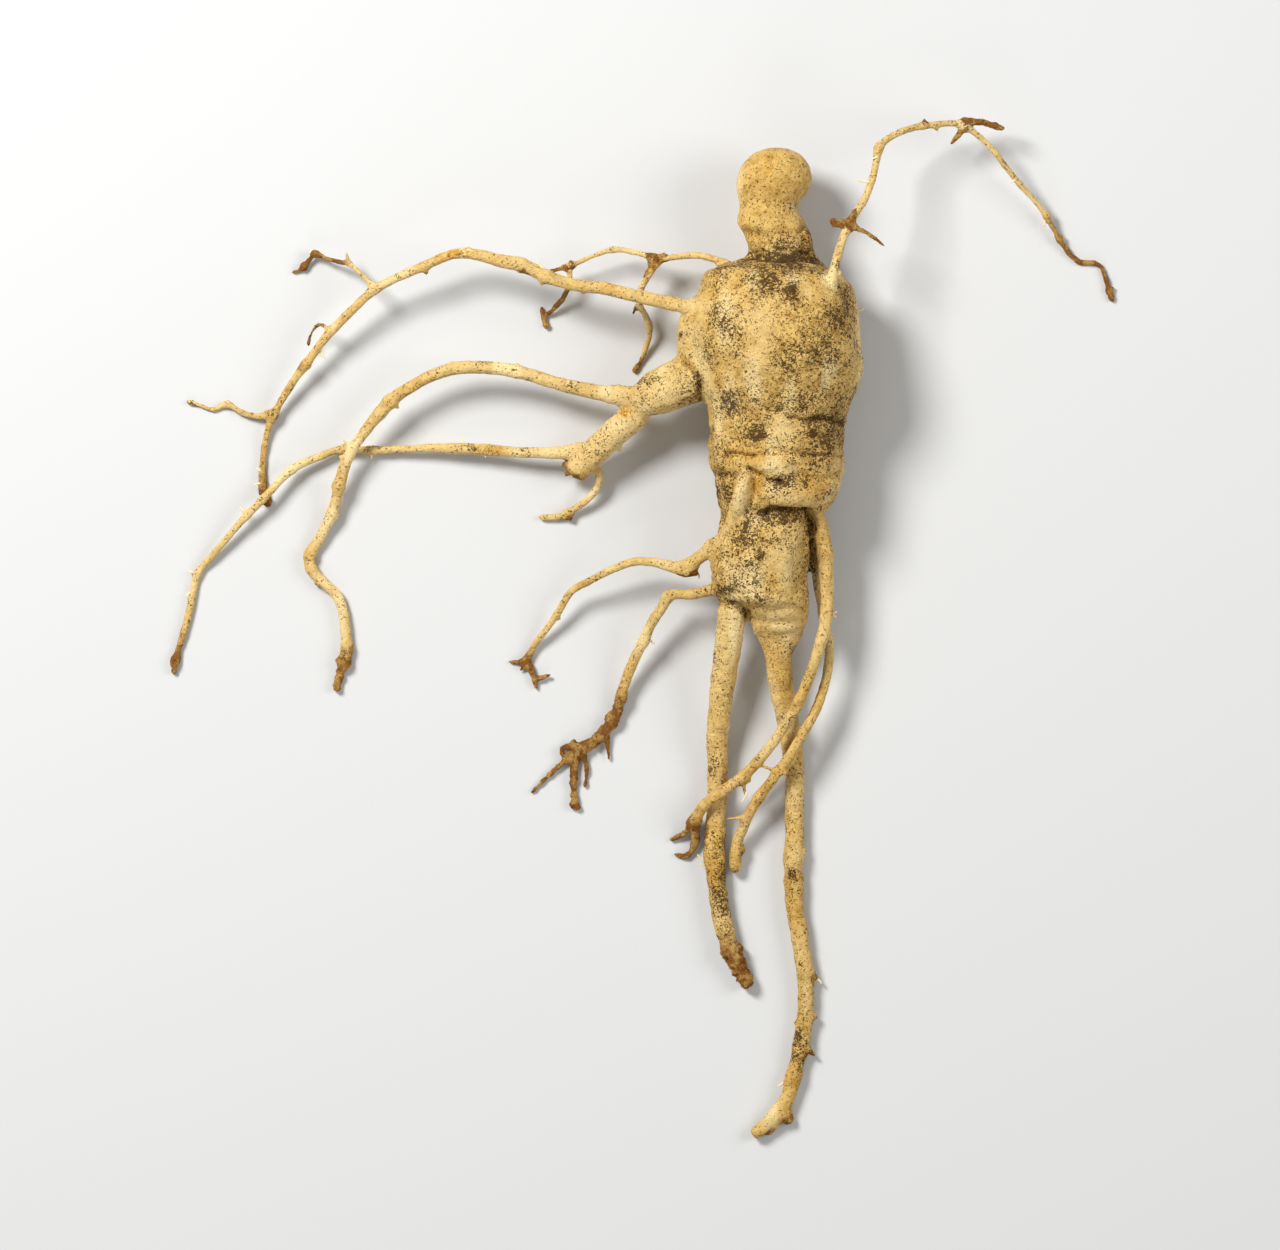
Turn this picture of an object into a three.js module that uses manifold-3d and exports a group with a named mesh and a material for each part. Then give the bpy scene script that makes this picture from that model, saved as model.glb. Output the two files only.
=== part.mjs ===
// A freshly lifted ginseng root, lying on its back on a level surface.
// One grown piece: a knobbed crown, a stout main root, two long legs, and branching side roots.
// Millimetres. +Y runs towards the crown, +Z is up, and the origin is the flat of the main root's
// underside, where it rests on the surface.

import * as THREE from "three";
import { mergeVertices } from "three/addons/utils/BufferGeometryUtils.js";
import Module from "manifold-3d";

// ---- driving dimensions -------------------------------------------------------------------------

const depthShare = 0.85; // how deep the main root is, as a share of its width
const mainSides = 16; // facets round the main root
const mainStep = 3.2; // mm between its rings
const limbSides = 6; // facets round a side root
const limbStep = 5; // mm between its rings
const twigSides = 5; // facets round a twig
const twigWidth = 2.1; // a limb that starts thinner than this is a twig
const tipLength = 0.5; // how long the rounded end of a limb is, as a share of its thickness
const flareLength = 7; // mm over which a limb's widened base dies away
const groundDepth = 40; // thickness of the block that planes the underside flat

// ---- main root ----------------------------------------------------------------------------------

// From the crown's tip to the hip: [along, sideways, height of the underside, width].
const mainRoot = [
  [46.7, 0.5, 11, 3],
  [45.5, 0.5, 8.5, 9],
  [43, 0.2, 6.5, 14],
  [40, -0.2, 5.5, 16.5],
  [37, -0.7, 6, 15],
  [34, -1.4, 7, 12.8],
  [30.5, -0.8, 6.5, 15],
  [28.8, -0.2, 7, 13.8],
  [26.5, 0.8, 6.5, 15],
  [23.5, 1, 6.5, 15],
  [21.5, 0.5, 4.5, 20],
  [20, 0, 2, 28],
  [17, 0, 0, 33],
  [12, 0.2, -0.6, 36.5],
  [5, 0.5, -0.6, 37.5],
  [-3, 1, -0.6, 35.5],
  [-8, 0.7, -0.6, 33],
  [-12, 0.2, -0.5, 30.5],
  [-17, 0.2, -0.6, 30],
  [-23, 0, -0.6, 30],
  [-28, 0.3, 0, 28],
  [-31, -0.5, 1.5, 24.5],
  [-33, -1.8, 3, 21],
  [-38, -2.6, 3, 21.5],
  [-44, -3.3, 2.4, 22.4],
  [-50, -3.4, 2, 22],
  [-53.5, -1.8, 3, 17.5],
  [-57, 0.7, 4, 13],
  [-60.5, 0.7, 4.2, 10],
  [-64, 0.7, 4, 7.4],
];

// ---- side roots ---------------------------------------------------------------------------------

// path: the bends along a limb, each [x, y, height of the underside].
// width: thickness at the base and at the tip.  flare: extra thickness where it joins.
const limbs = {
  shoulder_ridge: {
    path: [[-14, 14, 13], [-17, 10, 11.5], [-17.5, 3, 9.5], [-15, -5, 9]],
    width: [6.5, 10],
  },
  high_arm: {
    path: [
      [-14, 11, 15.5], [-20, 12, 15], [-30, 14, 13.8], [-38, 16.2, 13], [-45, 17, 12.2],
      [-50, 18.5, 11.5], [-55, 20.7, 11], [-60, 21.7, 10.6], [-66, 23, 10.2], [-69.5, 23.4, 10],
      [-73, 22.6, 9.6], [-78, 20.5, 9], [-84, 18, 8.4], [-88.5, 15.5, 7.8], [-93, 11.5, 6.8],
      [-98, 6.5, 5.6], [-103.5, -0.5, 4], [-107, -5.5, 2.8], [-110, -10.5, 1.6],
      [-112, -15, 0.8], [-113, -22, 0], [-112.7, -28, 0], [-111.2, -32, 0],
    ],
    width: [2.9, 1.7],
    flare: 1.6,
  },
  high_arm_twig: {
    path: [
      [-88, 16, 8.6], [-91, 19, 7], [-94, 21.8, 4.6], [-97, 22, 3.2], [-100.5, 23.3, 1.8],
      [-103.5, 21.3, 0.6], [-106.5, 19.7, 0],
    ],
    width: [1.4, 1],
  },
  high_arm_hook: {
    path: [[-98, 6.8, 6.2], [-100.5, 8.2, 5.2], [-102.3, 6.2, 3.8], [-103, 3.3, 2.6]],
    width: [1.1, 0.9],
  },
  high_arm_side: {
    path: [
      [-110.5, -11.3, 1.8], [-114.5, -11.9, 0.8], [-118, -11, 0.2], [-121, -9.3, 0],
      [-124, -10.5, 0], [-127, -9.5, 0], [-130, -8.7, 0],
    ],
    width: [1.7, 0.9],
  },
  main_arm: {
    path: [[-10, -3, 8], [-18, -4.5, 8], [-22, -5.6, 7.5], [-26, -7.5, 7], [-31, -9.5, 6.4]],
    width: [11.8, 8.8],
  },
  long_arm: {
    path: [
      [-29, -8.6, 7.6], [-36, -7.5, 8.2], [-45, -5.8, 8.2], [-50, -4.4, 8], [-55, -3, 7.8],
      [-60, -2, 7.7], [-67, -1.3, 7.5], [-72, -1.9, 7.3], [-76, -3.4, 7], [-80, -5.6, 6.7],
      [-84, -8.3, 6.3], [-87, -11.4, 5.9], [-90, -15, 5.3], [-92.7, -19, 4.6],
      [-94.6, -23, 3.6], [-95.8, -27, 2.6], [-97, -31, 1.6], [-99, -35.5, 0.6],
      [-102.5, -41, 0], [-102, -46, 0], [-98.5, -50, 0], [-95.2, -53, 0], [-94.4, -58, 0],
      [-94.1, -63, 0], [-95.2, -67, 0], [-96.5, -71.5, 0],
    ],
    width: [3.1, 2.5],
    flare: 2.4,
  },
  elbow: {
    path: [
      [-29, -10.5, 6.6], [-33, -13.5, 5.6], [-37.5, -17.5, 4.6], [-41.5, -21.3, 3.4],
      [-44, -24.6, 2.8],
    ],
    width: [7.8, 5],
  },
  low_arm: {
    path: [
      [-40, -19, 5.4], [-46, -19.8, 4.8], [-56, -20, 3.8], [-63, -19.5, 3], [-72, -19, 2.2],
      [-82, -19.2, 1.5], [-90, -19.5, 1], [-96, -19.3, 1.1], [-101, -21, 1.6],
      [-106, -23.3, 2.2], [-109, -26, 2.7], [-112, -29.5, 2.9], [-115, -32.5, 2.6],
      [-118.5, -36, 2], [-122, -40, 1.2], [-127, -46.5, 0], [-128.8, -54.6, 0],
      [-131.4, -63.3, 0], [-132.8, -68.5, 0],
    ],
    width: [2.1, 1.4],
    flare: 1.8,
  },
  elbow_curl: {
    path: [
      [-41, -22.3, 4.6], [-39, -24.3, 4], [-39, -27, 3], [-40.8, -29.8, 2], [-44, -32.3, 1],
      [-47, -34, 0.3], [-52, -34.3, 0],
    ],
    width: [1.9, 1.5],
  },
  back_arm: {
    path: [
      [-9, 21, 11], [-13, 22.3, 10.6], [-17, 23.2, 10], [-22, 23, 9], [-26, 22.6, 8],
      [-30, 23.8, 7.4], [-35.5, 24.6, 6.8], [-40, 23.3, 6.2], [-45, 21.2, 5.6], [-50, 19.8, 5],
    ],
    width: [1.7, 1.1],
  },
  back_arm_drop: {
    path: [
      [-25.5, 23, 8], [-28, 19.5, 7.2], [-29.7, 16, 6.2], [-30.2, 13.3, 5.4], [-28.4, 9.5, 4],
      [-28, 6, 2.6], [-29, 2, 1], [-31.3, -2.3, 0],
    ],
    width: [1.6, 1],
  },
  back_arm_end: {
    path: [
      [-45.5, 21.3, 5.4], [-45.7, 17.5, 4.4], [-48, 12.5, 2.4], [-50.7, 11.2, 1], [-50.5, 7.2, 0],
    ],
    width: [1.3, 1.3],
  },
  hip_high: {
    path: [
      [-6.5, -24.5, 21.5], [-7.8, -29.5, 19.6], [-9.2, -34.5, 16.4], [-11.3, -38.6, 13.6],
      [-14, -40.8, 11.6], [-17, -43.2, 10.6], [-19.6, -45.3, 9.8], [-23, -45, 9.3],
      [-27, -44.1, 8.8], [-31, -44, 8.2], [-36, -45.8, 7.2], [-41, -48.4, 5.8],
      [-45, -50.6, 4.6], [-47.5, -54.6, 3.2], [-50.2, -58.6, 1.8], [-53, -62.2, 0.6], [-55, -66, 0],
    ],
    width: [2.8, 1.6],
    flare: 0.8,
  },
  hip_high_fork: {
    path: [[-54.8, -65.8, 0], [-53.4, -69, 0], [-52.4, -72.2, 0]],
    width: [1.8, 1.2],
  },
  hip_high_stub: {
    path: [[-54.5, -66.2, 0], [-59, -66, 0]],
    width: [1.6, 1],
  },
  hip_low: {
    path: [
      [-9, -50, 10], [-14, -50.2, 9.6], [-19, -51.2, 9], [-23, -51.2, 8.2], [-25, -54, 7.2],
      [-27.5, -58, 5.8], [-29, -61.5, 4.6], [-31.5, -66.5, 3], [-33.4, -71.5, 1.6],
      [-34.6, -76, 0.6], [-37, -80.5, 0], [-40, -83.6, 0], [-45, -86.2, 0],
    ],
    width: [2.1, 2.7],
    flare: 1.2,
  },
  hip_low_fork_a: {
    path: [[-44.5, -86.3, 0], [-49.5, -90.6, 0], [-54, -95.2, 0]],
    width: [1.8, 0.9],
  },
  hip_low_fork_b: {
    path: [[-44, -86.5, 0], [-44.5, -92.5, 0], [-44.2, -98.3, 0]],
    width: [1.8, 1.6],
  },
  hip_low_fork_c: {
    path: [[-42.5, -85, 0.4], [-41.6, -90, 0.2], [-42, -94, 0]],
    width: [1.5, 1],
  },
  crest: {
    path: [
      [11, 11, 21.5], [12, 16, 22.5], [13.3, 22, 21.8], [15, 27.3, 20.6], [17, 31.5, 19.4],
      [19.6, 35.6, 18], [21.3, 40, 16.8], [22.2, 44, 15.8], [23, 47.3, 14.8], [28, 50.5, 12.8],
      [34, 51.8, 10.8], [41, 52, 8.8], [47.5, 47, 6.6], [51, 42.6, 5.2], [54.4, 38.6, 4],
      [58.4, 34, 2.6], [60.6, 30.8, 1.6], [63.4, 26, 0.6], [67, 22.2, 0], [71.5, 21.4, 0],
      [73.2, 17.4, 0], [74.4, 13.2, 0],
    ],
    width: [2.1, 1.1],
    flare: 1,
  },
  crest_cross: {
    path: [[12, 30.6, 20.6], [16, 29.6, 20.4], [20.5, 27.8, 20], [24, 25, 19.4]],
    width: [1.6, 0.8],
  },
  crest_fork_a: {
    path: [[40.5, 52.2, 8.8], [43, 52.8, 8.6], [50.6, 51.3, 7.8]],
    width: [1.5, 1.6],
  },
  crest_fork_b: {
    path: [[42, 51.4, 8.6], [40, 49.4, 8], [38.8, 47.6, 7.6]],
    width: [1.4, 1.2],
  },
  flank_front: {
    path: [
      [6.5, -31, 11], [9.2, -36, 10.6], [11, -41, 10], [11.9, -47, 9.6], [12, -53, 9.6],
      [11.2, -58.5, 9.7], [9.8, -63, 9.8], [7.4, -70, 9.4], [4.4, -76.5, 8.6], [0, -83, 7.6],
      [-4, -88, 6.8], [-7.5, -91.6, 6.2], [-12, -94.8, 5.8], [-15.5, -97, 4.4], [-18.2, -102, 1.6],
    ],
    width: [2.5, 2.4],
    flare: 3,
  },
  flank_front_fork_a: {
    path: [[-18, -101.4, 1.6], [-20.4, -104.8, 0.4], [-23.3, -106, 0]],
    width: [1.9, 1.1],
  },
  flank_front_fork_b: {
    path: [[-17.8, -101.6, 1.8], [-18, -106, 0.4], [-20.2, -108.2, 0], [-22.5, -107, 0]],
    width: [1.8, 1.1],
  },
  flank_back: {
    path: [
      [7.5, -38, 9], [8.8, -44, 7.8], [9.4, -49, 7.2], [10.6, -55, 6.6], [11.7, -61, 6.5],
      [11.8, -66, 6.5], [10.8, -71.5, 6.6], [8.8, -76.5, 6.8], [6.2, -81.5, 7], [3.2, -86.5, 6.8],
      [0, -91, 6], [-3.5, -96, 4.8], [-6.3, -100.5, 3.2], [-8.2, -105.5, 1.6], [-8.9, -112.6, 0.6],
    ],
    width: [2.1, 2.6],
    flare: 0.6,
  },
  left_leg: {
    path: [
      [-7.6, -48, 8.6], [-9, -56, 7.6], [-10.5, -64, 5.8], [-11.8, -72, 4], [-12.6, -80, 2.2],
      [-12.8, -90, 0.6], [-13, -100, 0], [-13.4, -108, 0], [-12.8, -115, 0], [-12, -121, 0],
      [-10.6, -126.5, 0], [-8.6, -132, 0], [-5.6, -137.6, 0],
    ],
    width: [5, 4],
    flare: 2.6,
  },
  right_leg: {
    path: [
      [0.6, -56, 3.8], [0.7, -63, 3.8], [1.2, -70, 2.6], [2.2, -76.5, 1.6], [3.3, -82, 1],
      [4.2, -90, 0.2], [4.3, -100, 0], [4.2, -112, 0], [4.4, -120, 0], [5.6, -128, 0],
      [6.7, -135, 0], [6.7, -143, 0], [5.9, -149.5, 0], [4.4, -156, 0], [2.8, -161.5, 0],
      [0.6, -165.8, 0], [-4.8, -170.3, 0],
    ],
    width: [5.2, 3.2],
    flare: 5,
  },
  right_leg_stub: {
    path: [[1.6, -163.8, 0], [3, -168, 0]],
    width: [3, 2.2],
  },
};

// ---- shapes -------------------------------------------------------------------------------------

const up = new THREE.Vector3(0, 0, 1);

// A closed cylinder, bent onto a route.  route(t) gives its middle, width and depth there.
function sweep(route, sides, rings) {
  const geometry = new THREE.CylinderGeometry(1, 1, 1, sides, rings);
  geometry.deleteAttribute("normal");
  geometry.deleteAttribute("uv");
  const position = geometry.attributes.position;
  for (let i = 0; i < position.count; i++) {
    const t = THREE.MathUtils.clamp(position.getY(i) + 0.5, 0, 1);
    const { middle, tangent, width, depth } = route(t);
    const side = new THREE.Vector3().crossVectors(tangent, up).normalize();
    const over = new THREE.Vector3().crossVectors(side, tangent).normalize();
    const point = middle
      .clone()
      .addScaledVector(side, (position.getX(i) * width) / 2)
      .addScaledVector(over, (position.getZ(i) * depth) / 2);
    position.setXYZ(i, point.x, point.y, point.z);
  }
  return mergeVertices(geometry, 1e-4);
}

// The stout middle of the root, with its own width at every section.
function mainRootShape() {
  const middles = new THREE.CatmullRomCurve3(
    mainRoot.map(([y, x, lift, width]) => new THREE.Vector3(x, y, lift + (width * depthShare) / 2)),
  );
  const widths = new THREE.CatmullRomCurve3(
    mainRoot.map(([, , , width]) => new THREE.Vector3(width, 0, 0)),
  );
  const towardsLegs = new THREE.Vector3(0, -1, 0);
  const route = (t) => {
    const width = widths.getPoint(t).x;
    return { middle: middles.getPoint(t), tangent: towardsLegs, width, depth: width * depthShare };
  };
  return sweep(route, mainSides, Math.ceil(middles.getLength() / mainStep));
}

// A round tapering limb: widened where it joins, rounded off at its tip.
function limbShape({ path, width: [base, tip], flare = 0 }) {
  const bends = new THREE.CatmullRomCurve3(path.map(([x, y, lift]) => new THREE.Vector3(x, y, lift)));
  const length = bends.getLength();
  const route = (t) => {
    const fromBase = t * length;
    const full = THREE.MathUtils.lerp(base, tip, t) + flare * Math.exp(-fromBase / flareLength);
    const toEnd = Math.min(fromBase, length - fromBase) / (full * tipLength);
    const round = toEnd < 1 ? 0.55 + 0.45 * toEnd : 1;
    const middle = bends.getPointAt(t);
    middle.z += full / 2;
    return { middle, tangent: bends.getTangentAt(t), width: full * round, depth: full * round };
  };
  const isTwig = base < twigWidth;
  return sweep(route, isTwig ? twigSides : limbSides, Math.max(2, Math.ceil(length / limbStep)));
}

// ---- joining ------------------------------------------------------------------------------------

const wasm = await Module();
wasm.setup();

function solidOf(geometry) {
  return new wasm.Manifold(
    new wasm.Mesh({
      numProp: 3,
      vertProperties: new Float32Array(geometry.attributes.position.array),
      triVerts: new Uint32Array(geometry.index.array),
    }),
  );
}

// Everything below the surface is planed away, which leaves the flats that the root rests on.
function groundShape() {
  const ground = new THREE.BoxGeometry(600, 600, groundDepth);
  ground.deleteAttribute("normal");
  ground.deleteAttribute("uv");
  ground.translate(0, 0, -groundDepth / 2);
  return mergeVertices(ground, 1e-4);
}

function rootGeometry() {
  let solid = solidOf(mainRootShape());
  for (const limb of Object.values(limbs)) solid = solid.add(solidOf(limbShape(limb)));
  const joined = solid.subtract(solidOf(groundShape())).getMesh();
  const geometry = new THREE.BufferGeometry();
  geometry.setAttribute("position", new THREE.BufferAttribute(joined.vertProperties, 3));
  geometry.setIndex(new THREE.BufferAttribute(joined.triVerts, 1));
  geometry.computeVertexNormals();
  return geometry;
}

const rootSkin = new THREE.MeshStandardMaterial({ color: 0xd9bd86, roughness: 0.75, metalness: 0 });

const ginseng = new THREE.Group();
const root = new THREE.Mesh(rootGeometry(), rootSkin);
root.name = "ginseng_root";
ginseng.add(root);

export default ginseng;
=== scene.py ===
# The looks of the ginseng root: its fine skin, folds, soil and dried tips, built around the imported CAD
# part. Shapes are worked out in millimetres and turned into metres when their mesh is made.

import math
import random

import bpy
import numpy as np
from mathutils import Matrix, Vector, kdtree


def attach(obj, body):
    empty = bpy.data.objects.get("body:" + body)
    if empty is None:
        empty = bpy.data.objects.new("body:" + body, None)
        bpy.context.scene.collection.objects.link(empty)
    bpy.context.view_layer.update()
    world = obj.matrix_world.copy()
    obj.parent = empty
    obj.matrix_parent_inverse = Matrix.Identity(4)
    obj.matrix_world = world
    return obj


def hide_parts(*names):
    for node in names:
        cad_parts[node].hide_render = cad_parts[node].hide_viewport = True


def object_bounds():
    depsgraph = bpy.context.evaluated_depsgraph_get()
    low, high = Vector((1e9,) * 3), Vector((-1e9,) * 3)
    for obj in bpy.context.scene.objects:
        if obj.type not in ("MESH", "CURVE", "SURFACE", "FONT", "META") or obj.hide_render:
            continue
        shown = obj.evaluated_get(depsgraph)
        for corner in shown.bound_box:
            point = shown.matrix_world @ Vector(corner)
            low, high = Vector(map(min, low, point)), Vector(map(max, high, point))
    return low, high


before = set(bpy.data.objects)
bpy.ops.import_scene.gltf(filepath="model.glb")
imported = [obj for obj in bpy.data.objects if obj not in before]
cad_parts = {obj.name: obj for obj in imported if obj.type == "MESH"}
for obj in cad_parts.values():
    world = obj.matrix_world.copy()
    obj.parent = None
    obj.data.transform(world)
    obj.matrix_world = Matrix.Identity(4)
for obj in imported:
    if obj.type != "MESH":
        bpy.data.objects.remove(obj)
cad_low, cad_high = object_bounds()

MM = 0.001
SEED = 7
DEPTH_SHARE = 0.85  # how deep the main root is, as a share of its width
DEPTH_EASE = 5.0  # mm over which its depth is evened out
VOXEL = 0.42  # mm, the grid that joins the limbs into one skin
MOST_FACES = 190000  # triangles in the finished skin
RING_STEP = 0.7  # mm between the rings of a limb before they are joined
SIDES = 14
FLARE_LENGTH = 7.0  # mm over which a limb's widened base dies away
GROUND = 0.02  # mm, the lowest that anything reaches above the surface
MAIN_SIDES = 64
SPUR_SIDES = 10
HAIR_SIDES = 6
SPUR_STEP = 0.3  # mm between the rings of a spur
HAIR_STEP = 0.25  # mm between the rings of a hair
RELAX_ROUNDS = 6
MOST_MASK = 1.6  # the highest value that a colour mask holds
NECK = (23, 31)  # mm along the root, from the shoulders to the clean crown
LEGS = (-52, -75)  # mm along the root, from the hip to the duller legs
WAISTS = ((-21, 12), (25.5, 3.5), (-53, 6))  # where the skin is most wrinkled: along, reach

CAMERA_HEIGHT = 4.0  # m
CAMERA_SHIFT = (-0.5, 0.7)  # mm from the middle of the root
SHOWN = 1.355  # the width in view, as a share of the root's own
SENSOR = 36  # mm
FLOOR_HALF = 3.0  # m
FLOOR_TONE = (0.60, 0.60, 0.59)

rng = random.Random(SEED)

# ---- the root's layout, in millimetres, with more bends than the CAD part has --------------------

# From the crown's tip to where the legs part: along, left edge, right edge, height of the underside.
MAIN_ROOT = [
    (46.9, -1.2, 1.8, 11), (46.2, -3.8, 4.4, 9), (44.5, -6.2, 6.6, 7), (42, -7.9, 7.9, 6),
    (39.5, -8.6, 8.1, 5.5), (37.5, -8.6, 7.3, 5.8), (35.5, -8.1, 5.8, 6.3), (34, -7.9, 4.9, 6.8),
    (32.5, -8.2, 5.3, 6.8), (31, -8.5, 6.4, 6.5), (29.5, -8.1, 7.1, 6.5), (28.3, -7.2, 7.9, 6.6),
    (26.5, -6.7, 8.3, 6.6), (24.5, -6.1, 8.4, 6.2), (23.2, -6.4, 9.3, 5.5), (22.2, -9.5, 10.1, 4.5),
    (21.2, -12.2, 10.8, 3.2), (20, -15, 12.6, 1.8), (18.5, -16.2, 15, 0.6), (16.5, -16.6, 16.8, 0),
    (13, -17.6, 18.1, -0.4), (9, -18.4, 18.9, -0.6), (4, -18.4, 19.2, -0.6), (-1, -17.4, 19, -0.6),
    (-5, -16.4, 18.1, -0.6), (-9, -15.4, 16.7, -0.6), (-13, -14.8, 15.8, -0.6), (-17, -14.7, 15.3, -0.6),
    (-21, -14.9, 15.4, -0.6), (-25, -13.9, 14.9, -0.4), (-28, -13.5, 14.2, 0.2), (-30.5, -12.8, 12.9, 1),
    (-32.5, -12.1, 11.5, 2), (-34, -12, 9, 2.6), (-38, -13, 8, 3), (-42, -14, 7.6, 2.8),
    (-46, -14.3, 7.6, 2.2), (-50, -13.8, 7.6, 2), (-53, -11.8, 7.6, 2.6), (-55, -8, 7.4, 3.4),
    (-57, -6, 7.2, 3.8), (-59.5, -5, 6.2, 4), (-62, -3.2, 5, 4), (-64, -2.6, 4.2, 4),
]

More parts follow.
